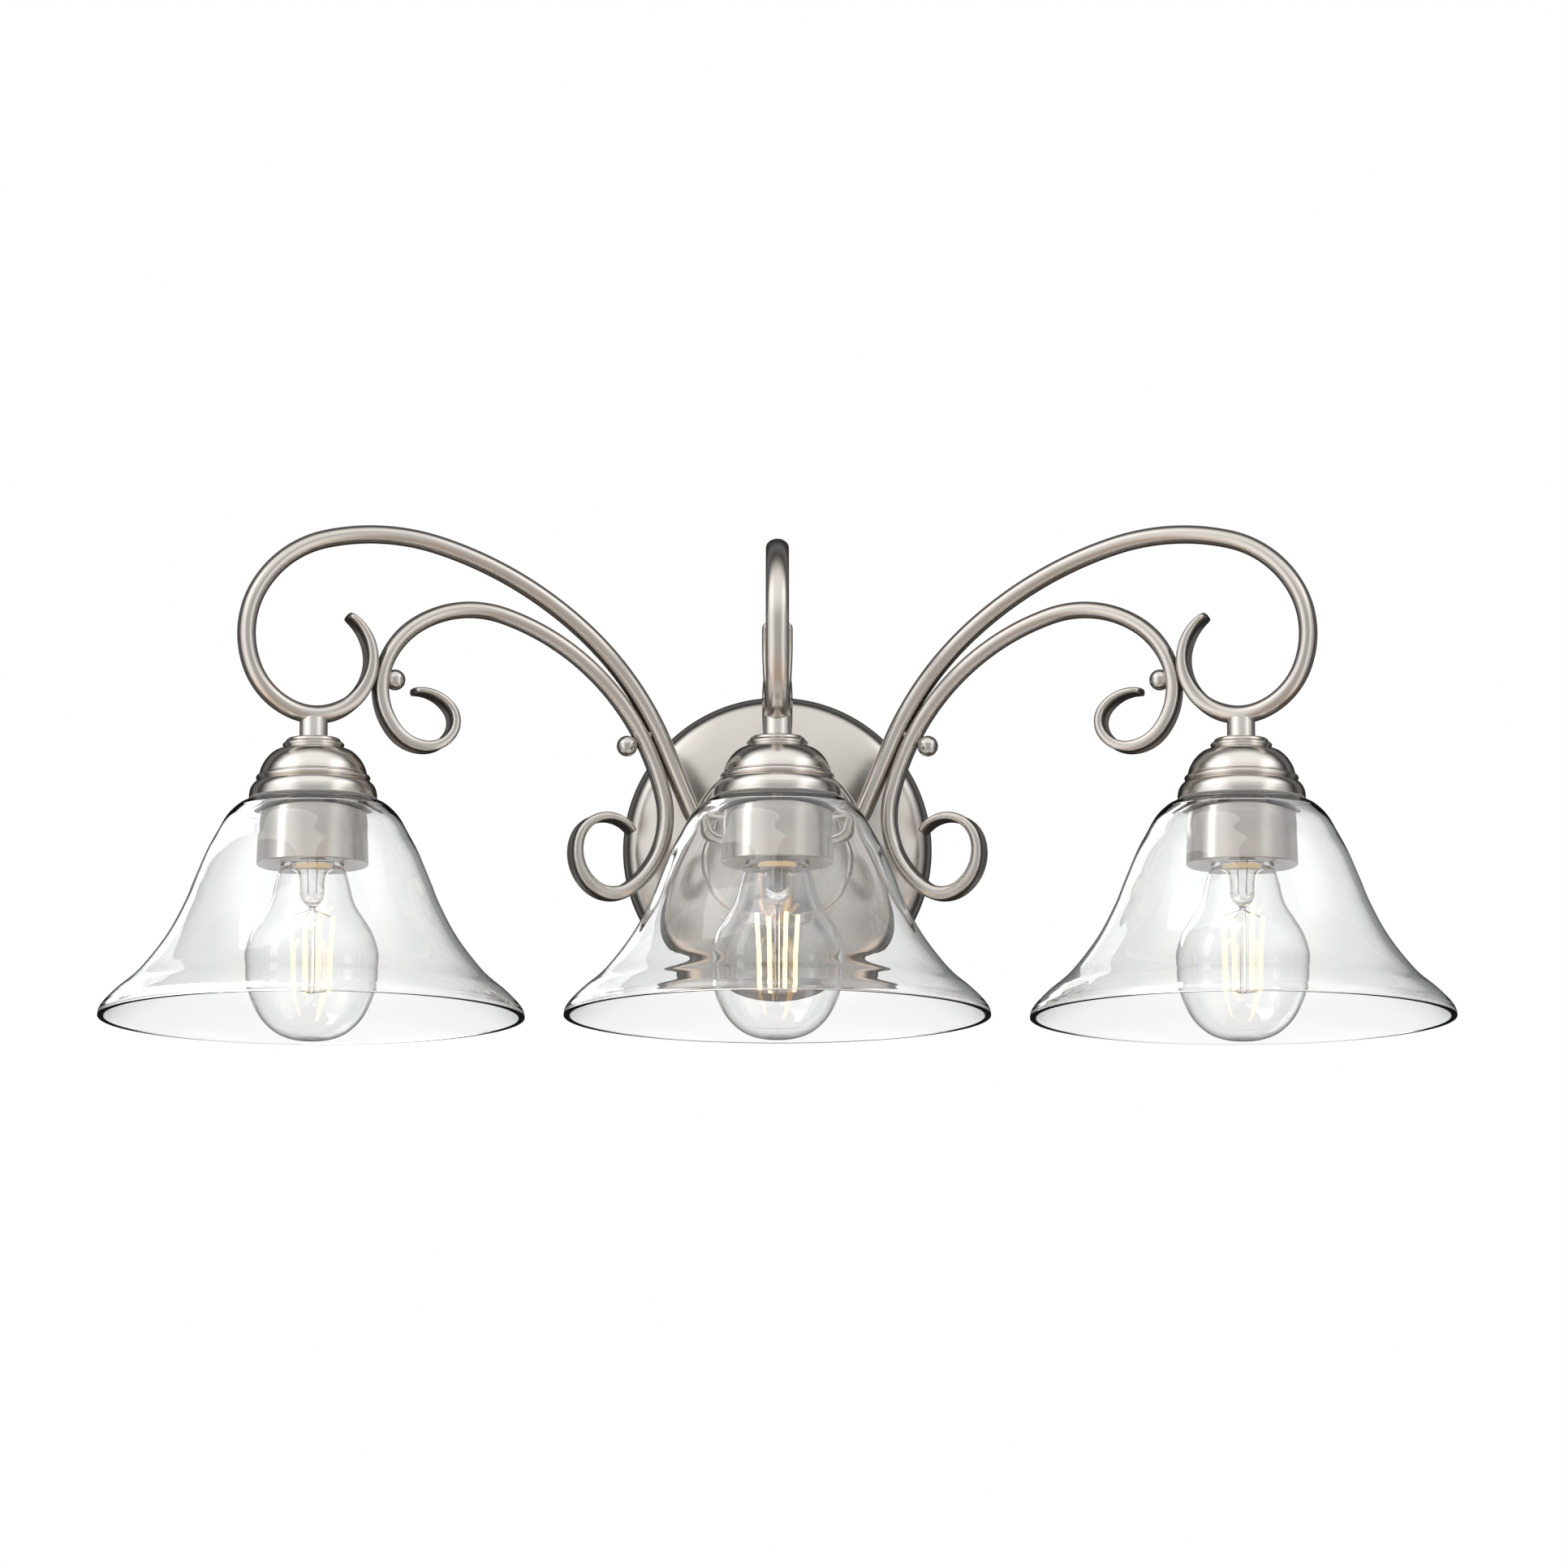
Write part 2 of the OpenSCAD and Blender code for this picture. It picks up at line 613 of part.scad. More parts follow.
// bell shade: outer curve as fractions of the radius and the height
shade_curve = [[0.300, 0.002], [0.347, 0.021], [0.404, 0.075], [0.452, 0.157], [0.497, 0.240], [0.553, 0.370],
    [0.602, 0.487], [0.686, 0.639], [0.810, 0.795], [0.916, 0.885], [0.972, 0.940], [0.994, 0.972], [1, 1]];
module shade(i) {
    outer = smooth([for (q = shade_curve) [q[0] * shade_d / 2, -q[1] * shade_h]], 3);
    inner = beside(outer, glass_t);
    n = len(outer) - 1;
    color([0.85, 0.90, 0.92, 0.35])
        at_lamp(i)
            translate([0, 0, shade_top])
                rotate_extrude($fn = 96)
                    polygon(concat([[fitter_d / 2, 0]], outer,
                        [[outer[n][0] - glass_t * 0.25, outer[n][1] - 0.5],
                            [outer[n][0] - glass_t * 0.75, outer[n][1] - 0.5]],
                        [for (j = [n:-1:3]) inner[j]],
                        [[collar_d / 2 + 2 * free_gap, -glass_t], [fitter_d / 2, -glass_t]]));
}

module collar(i) {
    top_r = collar_d / 2 - 0.7;
    color([0.72, 0.70, 0.67])
        at_lamp(i)
            rotate_extrude()
                polygon([[socket_r + fit_gap, collar_top], [top_r - 0.6, collar_top], [top_r, collar_top - 0.6],
                    [collar_d / 2, collar_bottom + 0.4], [collar_d / 2 - 0.4, collar_bottom],
                    [collar_mouth_r, collar_bottom], [collar_mouth_r, collar_bottom + collar_wall],
                    [collar_d / 2 - collar_wall, collar_bottom + collar_wall],
                    [top_r - collar_wall, collar_top - collar_plate],
                    [socket_r + fit_gap, collar_top - collar_plate]]);
}

// ---- bulb ----
module bulb_base(i) {
    crest = base_r;
    root = base_r - 0.9;
    turns = 5;
    color([0.80, 0.79, 0.77])
        at_lamp(i)
            translate([0, 0, base_bottom])
                rotate_extrude()
                    polygon(concat([[0, 0.4], [12.6, 0.4], [12.9, 0.7], [12.9, 1]],
                        [for (t = [0:turns - 1]) each [[root, 1.6 + t * thread_pitch],
                            [crest, 1.6 + (t + 0.45) * thread_pitch], [crest, 1.6 + (t + 0.55) * thread_pitch]]],
                        [[root, 1.6 + turns * thread_pitch], [11, base_h + 1], [6, base_h + 4.6],
                            [4.8, base_h + 4.8], [4.8, base_h + 5.6], [3, base_h + 6.3], [0, base_h + 6.3]]));
}

// glass envelope: outer curve as [radius fraction, height fraction]
bulb_curve = [[0.433, 0], [0.5, 0.045], [0.56, 0.13], [0.64, 0.238], [0.78, 0.33], [0.9, 0.402], [0.975, 0.484],
    [1, 0.565], [0.98, 0.665], [0.91, 0.765], [0.765, 0.872], [0.54, 0.953], [0.28, 0.992], [0, 1]];
bulb_wall = 0.9;
module bulb_glass(i) {
    outer = smooth([for (q = bulb_curve) [q[0] * bulb_d / 2, -q[1] * bulb_glass_h]], 3);
    inner = beside(outer, bulb_wall);
    n = len(outer) - 1;
    color([0.92, 0.94, 0.95, 0.3])
        at_lamp(i)
            translate([0, 0, base_bottom])
                rotate_extrude()
                    polygon(concat([[0, 0.4], [12.4, 0.4], [outer[0][0], 0]], outer,
                        [[0, inner[n][1]]], [for (j = [n - 1:-1:2]) inner[j]], [[11, -1], [0, -1]]));
}

stem_h = 20.4;
rod_end = 58.6;
fil_top = 25;          // filament strips: height of the top end, slant length, radius, and the ends' place
fil_len = 33;
fil_r = 0.95;
fil_out = 10;
fil_lean = 3.2;
fil_low_out = fil_out - fil_len * sin(fil_lean);
wire_r = 0.35;
module bulb_stem(i) {
    color([0.85, 0.88, 0.90])
        at_lamp(i)
            translate([0, 0, base_bottom]) {
                rotate_extrude($fn = 36)
                    polygon([[0, -1], [10.6, -1], [6.6, -4], [5.6, -9], [5.4, -15], [4.2, -18.4], [1.3, -stem_h],
                        [1.3, -rod_end], [0, -rod_end]]);
                for (a = [0:3])
                    rotate([0, 0, a * 90 + 23]) {
                        translate([0, 0, -fil_top - 1])
                            rotate([0, 90, 0])
                                cylinder(r = wire_r, h = fil_out - fil_r - free_gap, $fn = 13);
                        translate([0, 0, -rod_end + 1.4])
                            rotate([0, 90, 0])
                                cylinder(r = wire_r, h = fil_low_out - fil_r - free_gap / 2, $fn = 13);
                    }
            }
}

module filaments(i) {
    color([1, 0.85, 0.45])
        at_lamp(i)
            translate([0, 0, base_bottom])
                for (a = [0:3])
                    rotate([0, 0, a * 90 + 23])
                        translate([fil_out, 0, -fil_top])
                            rotate([0, 180 + fil_lean, 0])
                                cylinder(r = fil_r, h = fil_len, $fn = 20);
}

// ---- leads: from the canopy through the hub and the arm's bore to the socket ----
lead_turn_r = 3;
module lead(i) {
    st = i == 1 ? mid_st : side_st;
    low = i == 1 ? mid_low_len : side_low_len;
    inside = [for (s = st) if (s[2] > 4 && s[2] < low - lead_turn_r - 3) s];
    first = i == 1 ? [[0, lead_at], 90, 0] : [[lead_at, 0], 0, 0];
    low_pt = i == 1 ? [mid_reach, side_low[1]] : side_low;
    // the path comes back to the lamp's axis from its far side
    drop = [for (a = [0:15:90]) [low_pt + lead_turn_r * [1 - sin(a), cos(a) - 1], a - 180, 0]];
    end = [[low_pt[0], lamp_top - 10.4], -90, 0];
    rings = [for (s = concat([first], inside, drop, [end])) place(s, oval(2 * lead_r, 2 * lead_r, lead_n))];
    color([0.15, 0.15, 0.16])
        union() {
            arm_frame(i)
                solid_sweep(rings);
            translate(i == 1 ? [0, -hub_out, lead_at]
                : [(i == 0 ? -1 : 1) * lead_at * cos(side_yaw), -hub_out - lead_at * sin(side_yaw), 0]) {
                sphere(r = lead_r + fit_gap, $fn = 24);
                rotate([-90, 0, 0])
                    cylinder(r = lead_r, h = (i == 1 ? 0 : lead_at * sin(side_yaw)) + hub_out - 17, $fn = 24);
            }
        }
}

module wire_nuts() {
    at = [[-lead_at * cos(side_yaw), 0], [0, lead_at], [lead_at * cos(side_yaw), 0]];
    color([0.85, 0.45, 0.15])
        off_wall()
            for (p = at)
                translate([p[0], p[1], 6])
                    difference() {
                        rotate_extrude($fn = 36)
                            polygon([[0, 0], [2.2, 0], [3, 2], [3.1, 13], [0, 13]]);
                        translate([0, 0, 11 - fit_gap])
                            cylinder(r = lead_r + fit_gap, h = 4, $fn = 24);
                    }
}

canopy();
mounting_bracket();
ground_screw();
centre_pipe();
pipe_nuts();
hub();
finial();
arm(0);  // arm_left
arm(1);  // arm_middle
arm(2);  // arm_right
scroll(0);  // scroll_left
scroll(1);  // scroll_middle
scroll(2);  // scroll_right
ball_studs();
neck(0);  // neck_left
neck(1);  // neck_middle
neck(2);  // neck_right
cap(0);  // cap_left
cap(1);  // cap_middle
cap(2);  // cap_right
lamp_pipes();
lamp_nuts();
socket(0);  // socket_left
socket(1);  // socket_middle
socket(2);  // socket_right
screw_shell(0);  // shell_left
screw_shell(1);  // shell_middle
screw_shell(2);  // shell_right
contacts();
gaskets();
shade(0);  // shade_left
shade(1);  // shade_middle
shade(2);  // shade_right
collar(0);  // collar_left
collar(1);  // collar_middle
collar(2);  // collar_right
bulb_base(0);  // bulb_base_left
bulb_base(1);  // bulb_base_middle
bulb_base(2);  // bulb_base_right
bulb_glass(0);  // bulb_glass_left
bulb_glass(1);  // bulb_glass_middle
bulb_glass(2);  // bulb_glass_right
bulb_stem(0);  // bulb_stem_left
bulb_stem(1);  // bulb_stem_middle
bulb_stem(2);  // bulb_stem_right
filaments(0);  // filaments_left
filaments(1);  // filaments_middle
filaments(2);  // filaments_right
lead(0);  // lead_left
lead(1);  // lead_middle
lead(2);  // lead_right
wire_nuts();
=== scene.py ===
import math

import bmesh
import bpy
from mathutils import Matrix, Vector


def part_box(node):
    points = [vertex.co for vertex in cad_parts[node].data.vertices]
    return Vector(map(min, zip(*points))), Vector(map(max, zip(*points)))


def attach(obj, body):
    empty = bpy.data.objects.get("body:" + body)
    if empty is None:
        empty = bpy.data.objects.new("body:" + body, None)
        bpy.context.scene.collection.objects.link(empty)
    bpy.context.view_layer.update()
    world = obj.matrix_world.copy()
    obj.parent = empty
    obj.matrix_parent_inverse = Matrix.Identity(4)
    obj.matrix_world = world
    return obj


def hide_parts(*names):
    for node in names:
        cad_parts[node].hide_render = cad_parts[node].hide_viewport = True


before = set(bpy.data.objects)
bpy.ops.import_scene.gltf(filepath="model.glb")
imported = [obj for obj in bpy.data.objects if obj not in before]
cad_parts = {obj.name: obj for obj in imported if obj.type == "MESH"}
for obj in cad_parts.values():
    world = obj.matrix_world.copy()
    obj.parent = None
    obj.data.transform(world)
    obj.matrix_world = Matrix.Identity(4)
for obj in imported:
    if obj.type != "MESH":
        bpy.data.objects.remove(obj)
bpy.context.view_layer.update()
mm = 0.001
sides = ("left", "middle", "right")
print("frame loaded:", len(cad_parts), "nodes")


# a new object with smooth faces, and edges kept sharp past the angle
def linkMesh(name, verts, faces, uvs, sharpAngle=35):
    mesh = bpy.data.meshes.new(name)
    mesh.from_pydata(verts, [], faces)
    layer = mesh.uv_layers.new(name="surface")
    for polygon in mesh.polygons:
        for corner, loop in enumerate(polygon.loop_indices):
            layer.data[loop].uv = uvs[polygon.index][corner]
    mesh.update()
    mesh.polygons.foreach_set("use_smooth", [True] * len(mesh.polygons))
    mesh.set_sharp_from_angle(angle=math.radians(sharpAngle))
    piece = bpy.data.objects.new(name, mesh)
    bpy.context.scene.collection.objects.link(piece)
    return piece


# smooth curve through the given points, with n steps between each two
def smoothCurve(points, n):
    last = len(points) - 1
    out = []
    for i in range(last):
        a, b = points[max(0, i - 1)], points[i]
        c, d = points[i + 1], points[min(last, i + 2)]
        for j in range(n):
            t = j / n
            place = []
            for k in (0, 1):
                square = 2 * a[k] - 5 * b[k] + 4 * c[k] - d[k]
                cube = 3 * b[k] - a[k] - 3 * c[k] + d[k]
                place.append(0.5 * (2 * b[k] + (c[k] - a[k]) * t + square * t * t + cube * t ** 3))
            out.append(tuple(place))
    return out + [tuple(points[last])]


# the same curve moved sideways, to the right of its direction
def besideCurve(points, distance):
    out = []
    last = len(points) - 1
    for i, p in enumerate(points):
        a, b = points[max(0, i - 1)], points[min(last, i + 1)]
        dx, dy = b[0] - a[0], b[1] - a[1]
        size = math.hypot(dx, dy)
        out.append((p[0] + distance * dy / size, p[1] - distance * dx / size))
    return out


# rounds a profile's corners that turn by more than 20 degrees
def roundCorners(profile, radius, steps=4, closed=False):
    out = []
    count = len(profile)
    for i, p in enumerate(profile):
        if not closed and i in (0, count - 1) or p[0] < 1e-6:
            out.append(p)
            continue
        a, b, c = Vector(profile[i - 1]), Vector(p), Vector(profile[(i + 1) % count])
        u, v = a - b, c - b
        if u.length < 1e-6 or v.length < 1e-6:
            continue
        turn = math.pi - u.angle(v)
        if turn < math.radians(20):
            out.append(p)
            continue
        cut = min(radius * math.tan(turn / 2), u.length * 0.45, v.length * 0.45)
        start, end = b + u.normalized() * cut, b + v.normalized() * cut
        for j in range(steps + 1):
            t = j / steps
            out.append(tuple((1 - t) ** 2 * start + 2 * t * (1 - t) * b + t * t * end))
    return out


# turns a profile of (radius, height) in millimetres about an upright axis at the given place
def latheMesh(name, profile, place, segments=96, closed=True, sharpAngle=35, toWall=False):
    rows, verts, lengths, run = [], [], [], 0.0
    for i, (r, h) in enumerate(profile):
        if i:
            run += math.dist(profile[i - 1], profile[i]) * mm
        lengths.append(run)
        row = []
        for k in range(1 if r < 1e-6 else segments):
            a = 2 * math.pi * k / segments
            x, y = r * math.cos(a) * mm, r * math.sin(a) * mm
            verts.append(place + (Vector((x, -h * mm, y)) if toWall else Vector((x, y, h * mm))))
            row.append(len(verts) - 1)
        rows.append(row)
    if closed:
        rows.append(rows[0])
        lengths.append(run + math.dist(profile[-1], profile[0]) * mm)
    faces, uvs = [], []
    for i in range(len(rows) - 1):
        a, b, va, vb = rows[i], rows[i + 1], lengths[i], lengths[i + 1]
        if len(a) == 1 and len(b) == 1:
            continue
        for k in range(segments):
            u, w, n = k / segments, (k + 1) / segments, (k + 1) % segments
            if len(a) == 1:
                faces.append((a[0], b[n], b[k]))
                uvs.append(((u, va), (w, vb), (u, vb)))
            elif len(b) == 1:
                faces.append((a[k], a[n], b[0]))
                uvs.append(((u, va), (w, va), (u, vb)))
            else:
                faces.append((a[k], a[n], b[n], b[k]))
                uvs.append(((u, va), (w, va), (w, vb), (u, vb)))
    piece = linkMesh(name, verts, faces, uvs, sharpAngle)
    faceOut(piece)
    return piece


# turns faces outward
def faceOut(piece):
    grid = bmesh.new()
    grid.from_mesh(piece.data)
    bmesh.ops.recalc_face_normals(grid, faces=grid.faces)
    grid.to_mesh(piece.data)
    grid.free()


# a skin over rings of points, closed at both ends
def sweepMesh(name, rings, lengths, sharpAngle=80):
    n = len(rings[0])
    verts = [p for ring in rings for p in ring]
    faces, uvs = [], []
    for i in range(len(rings) - 1):
        for k in range(n):
            j = (k + 1) % n
            faces.append((i * n + k, i * n + j, (i + 1) * n + j, (i + 1) * n + k))
            uvs.append(((k / n, lengths[i]), ((k + 1) / n, lengths[i]), ((k + 1) / n, lengths[i + 1]),
                        (k / n, lengths[i + 1])))
    for base in (0, (len(rings) - 1) * n):
        faces.append(tuple(range(base, base + n)))
        uvs.append([(k / n, 0) for k in range(n)])
    piece = linkMesh(name, verts, faces, uvs, sharpAngle)
    faceOut(piece)
    return piece


def joinPieces(name, parts):
    grid = bmesh.new()
    for part in parts:
        grid.from_mesh(part.data)
    mesh = bpy.data.meshes.new(name)
    grid.to_mesh(mesh)
    grid.free()
    for part in parts:
        bpy.data.objects.remove(part)
    piece = bpy.data.objects.new(name, mesh)
    bpy.context.scene.collection.objects.link(piece)
    return piece


# a shader node group: inputs are vectors where no value is given, and numbers otherwise
def newGroup(name, inputs, outputs):
    tree = bpy.data.node_groups.new(name, "ShaderNodeTree")
    for label, value in inputs.items():
        kind = "NodeSocketVector" if value is None else "NodeSocketFloat"
        made = tree.interface.new_socket(label, in_out="INPUT", socket_type=kind)
        if value is not None:
            made.default_value = value
    for label in outputs:
        tree.interface.new_socket(label, in_out="OUTPUT", socket_type="NodeSocketFloat")
    return tree, tree.nodes.new("NodeGroupInput"), tree.nodes.new("NodeGroupOutput")


def addNode(tree, kind, values=None, **settings):
    node = tree.nodes.new(kind)
    for key, value in settings.items():
        setattr(node, key, value)
    for key, value in (values or {}).items():
        if isinstance(value, bpy.types.NodeSocket):
            tree.links.new(value, node.inputs[key])
        else:
            node.inputs[key].default_value = value
    return node


# the output of a maths node on two values or sockets
def maths(tree, a, b, operation="MULTIPLY", **settings):
    return addNode(tree, "ShaderNodeMath", {0: a, 1: b}, operation=operation, **settings).outputs[0]


# fine lines left by brushing: Along and Across are how fast the pattern changes each way
def makeBrushing():
    tree, start, end = newGroup("brushedLines", {"Vector": None, "Along": 8.0, "Across": 600.0, "Depth": 0.3},
                                ("Rough", "Height"))
    split = addNode(tree, "ShaderNodeSeparateXYZ", {0: start.outputs["Vector"]})
    along = maths(tree, split.outputs[0], start.outputs["Along"])
    across = maths(tree, split.outputs[1], start.outputs["Across"])
    joined = addNode(tree, "ShaderNodeCombineXYZ", {0: along, 1: across})
    noise = addNode(tree, "ShaderNodeTexNoise", {"Vector": joined.outputs[0], "Scale": 1.0, "Detail": 2.0,
                                                 "Roughness": 0.5})
    centred = maths(tree, noise.outputs[0], 0.5, "SUBTRACT")
    tree.links.new(maths(tree, centred, start.outputs["Depth"]), end.inputs["Rough"])
    tree.links.new(noise.outputs[0], end.inputs["Height"])
    return tree


# handling marks and faint cloudiness, from places in metres
def makeSmudges():
    tree, start, end = newGroup("handlingMarks", {"Vector": None, "Size": 30.0, "Amount": 0.5},
                                ("Mask", "Cloud"))
    wide = addNode(tree, "ShaderNodeTexNoise", {"Vector": start.outputs["Vector"],
                                                "Scale": start.outputs["Size"], "Detail": 3.0,
                                                "Roughness": 0.55, "Distortion": 0.4})
    level = addNode(tree, "ShaderNodeMapRange", {"Value": wide.outputs[0], "From Min": 0.45, "From Max": 0.75,
                                                 "To Min": 0.0, "To Max": 1.0})
    tree.links.new(maths(tree, level.outputs[0], start.outputs["Amount"]), end.inputs["Mask"])
    tree.links.new(wide.outputs[0], end.inputs["Cloud"])
    return tree


# finish rubbed brighter where an edge stands proud
def makeEdgeWear():
    tree, start, end = newGroup("edgeWear", {"Amount": 0.5, "Vector": None}, ("Mask",))
    shape = addNode(tree, "ShaderNodeNewGeometry")
    edge = addNode(tree, "ShaderNodeMapRange", {"Value": shape.outputs["Pointiness"], "From Min": 0.52,
                                                "From Max": 0.60, "To Min": 0.0, "To Max": 1.0})
    patchy = addNode(tree, "ShaderNodeTexNoise", {"Vector": start.outputs["Vector"], "Scale": 160.0,
                                                  "Detail": 3.0})
    both = maths(tree, edge.outputs[0], patchy.outputs[0])
    tree.links.new(maths(tree, both, start.outputs["Amount"]), end.inputs["Mask"])
    return tree


brushedLines, handlingMarks, edgeWear = makeBrushing(), makeSmudges(), makeEdgeWear()


def fillGroup(tree, group, values):
    return addNode(tree, "ShaderNodeGroup", values, node_tree=group)


# a colour mix, given its share and two ends (colours or sockets)
def mixColours(tree, share, low, high):
    node = tree.nodes.new("ShaderNodeMix")
    node.data_type = "RGBA"
    tree.links.new(share, node.inputs[0])
    for end, value in zip([s for s in node.inputs if s.type == "RGBA"], (low, high)):
        if isinstance(value, bpy.types.NodeSocket):
            tree.links.new(value, end)
        else:
            end.default_value = (*value, 1)
    return [s for s in node.outputs if s.type == "RGBA"][0]


# an empty material, its node tree and its shader
def newFinish(name):
    finish = bpy.data.materials.new(name)
    finish.use_nodes = True
    tree = finish.node_tree
    return finish, tree, tree.nodes["Principled BSDF"]


# brushed or polished metal: lines run round a turned piece or along a tube
def makeMetal(name, look):
    finish, tree, shader = newFinish(name)
    place = addNode(tree, "ShaderNodeTexCoord").outputs["Object"]
    if look.get("mapped", True):
        source = addNode(tree, "ShaderNodeUVMap", uv_map="surface").outputs[0]
    else:
        source = place
    lines = fillGroup(tree, brushedLines, {"Vector": source, "Along": look["along"], "Across": look["across"],
                                           "Depth": look["depth"]})
    marks = fillGroup(tree, handlingMarks, {"Vector": place, "Size": look["markSize"], "Amount": look["marks"]})
    worn = fillGroup(tree, edgeWear, {"Vector": place, "Amount": look["wear"]})
    cloudy = mixColours(tree, marks.outputs["Mask"], look["colour"], look["markColour"])
    bright = mixColours(tree, worn.outputs["Mask"], cloudy, look["wornColour"])
    tree.links.new(bright, shader.inputs["Base Color"])
    brushed = maths(tree, lines.outputs["Rough"], look["roughness"], "ADD")
    greasy = maths(tree, marks.outputs["Mask"], look["markRough"])
    tree.links.new(maths(tree, brushed, greasy, "ADD", use_clamp=True), shader.inputs["Roughness"])
    bump = addNode(tree, "ShaderNodeBump", {"Strength": look["bump"], "Distance": 0.00004,
                                            "Height": lines.outputs["Height"]})
    tree.links.new(bump.outputs[0], shader.inputs["Normal"])
    shader.inputs["Metallic"].default_value = 1.0
    return finish


tubeLook = {"colour": (0.60, 0.565, 0.525), "markColour": (0.56, 0.525, 0.485),
            "wornColour": (0.66, 0.64, 0.61), "roughness": 0.24, "along": 12.0, "across": 8.0, "depth": 0.05,
            "bump": 0.0, "marks": 0.5, "markSize": 26.0, "markRough": 0.03, "wear": 0.0}
turnedLook = dict(tubeLook, colour=(0.70, 0.665, 0.625), markColour=(0.64, 0.605, 0.565), along=5.0,
                  across=1800.0, roughness=0.2, depth=0.1, bump=0.02, wear=0.1)
# the collar's nickel is darker than the other satin nickel: painted shade, for the collar seen dim inside the
# glass shade
collarPaintedShadeLook = dict(turnedLook, colour=(0.52, 0.49, 0.455), markColour=(0.46, 0.43, 0.395), roughness=0.2,
                  depth=0.22, bump=0.15)
domeLook = dict(turnedLook, colour=(0.56, 0.53, 0.495), markColour=(0.50, 0.47, 0.435))
polishedLook = dict(tubeLook, colour=(0.60, 0.58, 0.555), markColour=(0.54, 0.52, 0.49), roughness=0.1,
                    depth=0.05, bump=0.03, markRough=0.05)
zincLook = dict(polishedLook, colour=(0.56, 0.57, 0.57), markColour=(0.42, 0.43, 0.43), roughness=0.33,
                mapped=False, along=900.0, across=90.0, markSize=60.0)
greenLook = dict(zincLook, colour=(0.12, 0.36, 0.18), markColour=(0.08, 0.25, 0.12),
                 wornColour=(0.42, 0.45, 0.40))
hubLook = dict(tubeLook, mapped=False, along=300.0, across=500.0)
# the neck's nickel is lighter than the other satin nickel: painted light
neckPaintedLightLook = dict(hubLook, roughness=0.3, colour=(0.80, 0.77, 0.73), markColour=(0.72, 0.69, 0.65))
brassLook = dict(polishedLook, colour=(0.78, 0.55, 0.26), markColour=(0.62, 0.41, 0.18),
                 wornColour=(0.86, 0.70, 0.42), roughness=0.2, along=6.0, across=1500.0)
threadLook = dict(polishedLook, colour=(0.70, 0.69, 0.66), markColour=(0.55, 0.53, 0.50), along=5.0,
                  across=1800.0, roughness=0.22)
finishes = {
    "tube": makeMetal("satinNickelTube", tubeLook),
    "turned": makeMetal("satinNickelTurned", turnedLook),
    "dome": makeMetal("satinNickelDome", domeLook),
    "collar": makeMetal("brushedCollarNickelPaintedShade", collarPaintedShadeLook),
    "polished": makeMetal("polishedNickel", polishedLook),
    "zinc": makeMetal("zincSteel", zincLook),
    "green": makeMetal("greenScrewPaint", greenLook),
    "hub": makeMetal("satinNickelHub", hubLook),
    "neck": makeMetal("satinNickelNeckPaintedLight", neckPaintedLightLook),
    "brass": makeMetal("shellBrass", brassLook),
    "thread": makeMetal("bulbBaseNickel", threadLook),
}


# clear glass of a real thickness, with faint wipe marks and a slight grey body tint
def makeGlass(name, look):
    finish, tree, shader = newFinish(name)
    place = addNode(tree, "ShaderNodeTexCoord").outputs["Object"]
    marks = fillGroup(tree, handlingMarks, {"Vector": place, "Size": look["markSize"], "Amount": look["marks"]})
    tree.links.new(maths(tree, marks.outputs["Mask"], look["markRough"]), shader.inputs["Roughness"])
    wave = addNode(tree, "ShaderNodeTexNoise", {"Vector": place, "Scale": look["waveSize"], "Detail": 1.0})
    bump = addNode(tree, "ShaderNodeBump", {"Strength": look["wave"], "Distance": 0.0002,
                                            "Height": wave.outputs[0]})
    tree.links.new(bump.outputs[0], shader.inputs["Normal"])
    tint = mixColours(tree, marks.outputs["Cloud"], look["colour"], look["cloudColour"])
    tree.links.new(tint, shader.inputs["Base Color"])
    shader.inputs["Transmission Weight"].default_value = 1.0
    shader.inputs["IOR"].default_value = look["ior"]
    body = addNode(tree, "ShaderNodeVolumeAbsorption", {"Color": (*look["bodyColour"], 1),
                                                        "Density": look["density"]})
    tree.links.new(body.outputs[0], tree.nodes["Material Output"].inputs["Volume"])
    return finish


shadeGlassLook = {"colour": (1.0, 1.0, 1.0), "cloudColour": (0.985, 0.99, 0.99),
                  "bodyColour": (0.62, 0.66, 0.66), "density": 13.0, "ior": 1.5, "marks": 0.5,
                  "markSize": 14.0, "markRough": 0.004, "wave": 0.03, "waveSize": 22.0}
bulbGlassLook = dict(shadeGlassLook, density=25.0, markSize=40.0, wave=0.02, markRough=0.008)
stemGlassLook = dict(shadeGlassLook, density=20.0, wave=0.1, waveSize=120.0)
finishes["shadeGlass"] = makeGlass("clearShadeGlass", shadeGlassLook)
finishes["bulbGlass"] = makeGlass("clearBulbGlass", bulbGlassLook)
finishes["stemGlass"] = makeGlass("clearStemGlass", stemGlassLook)
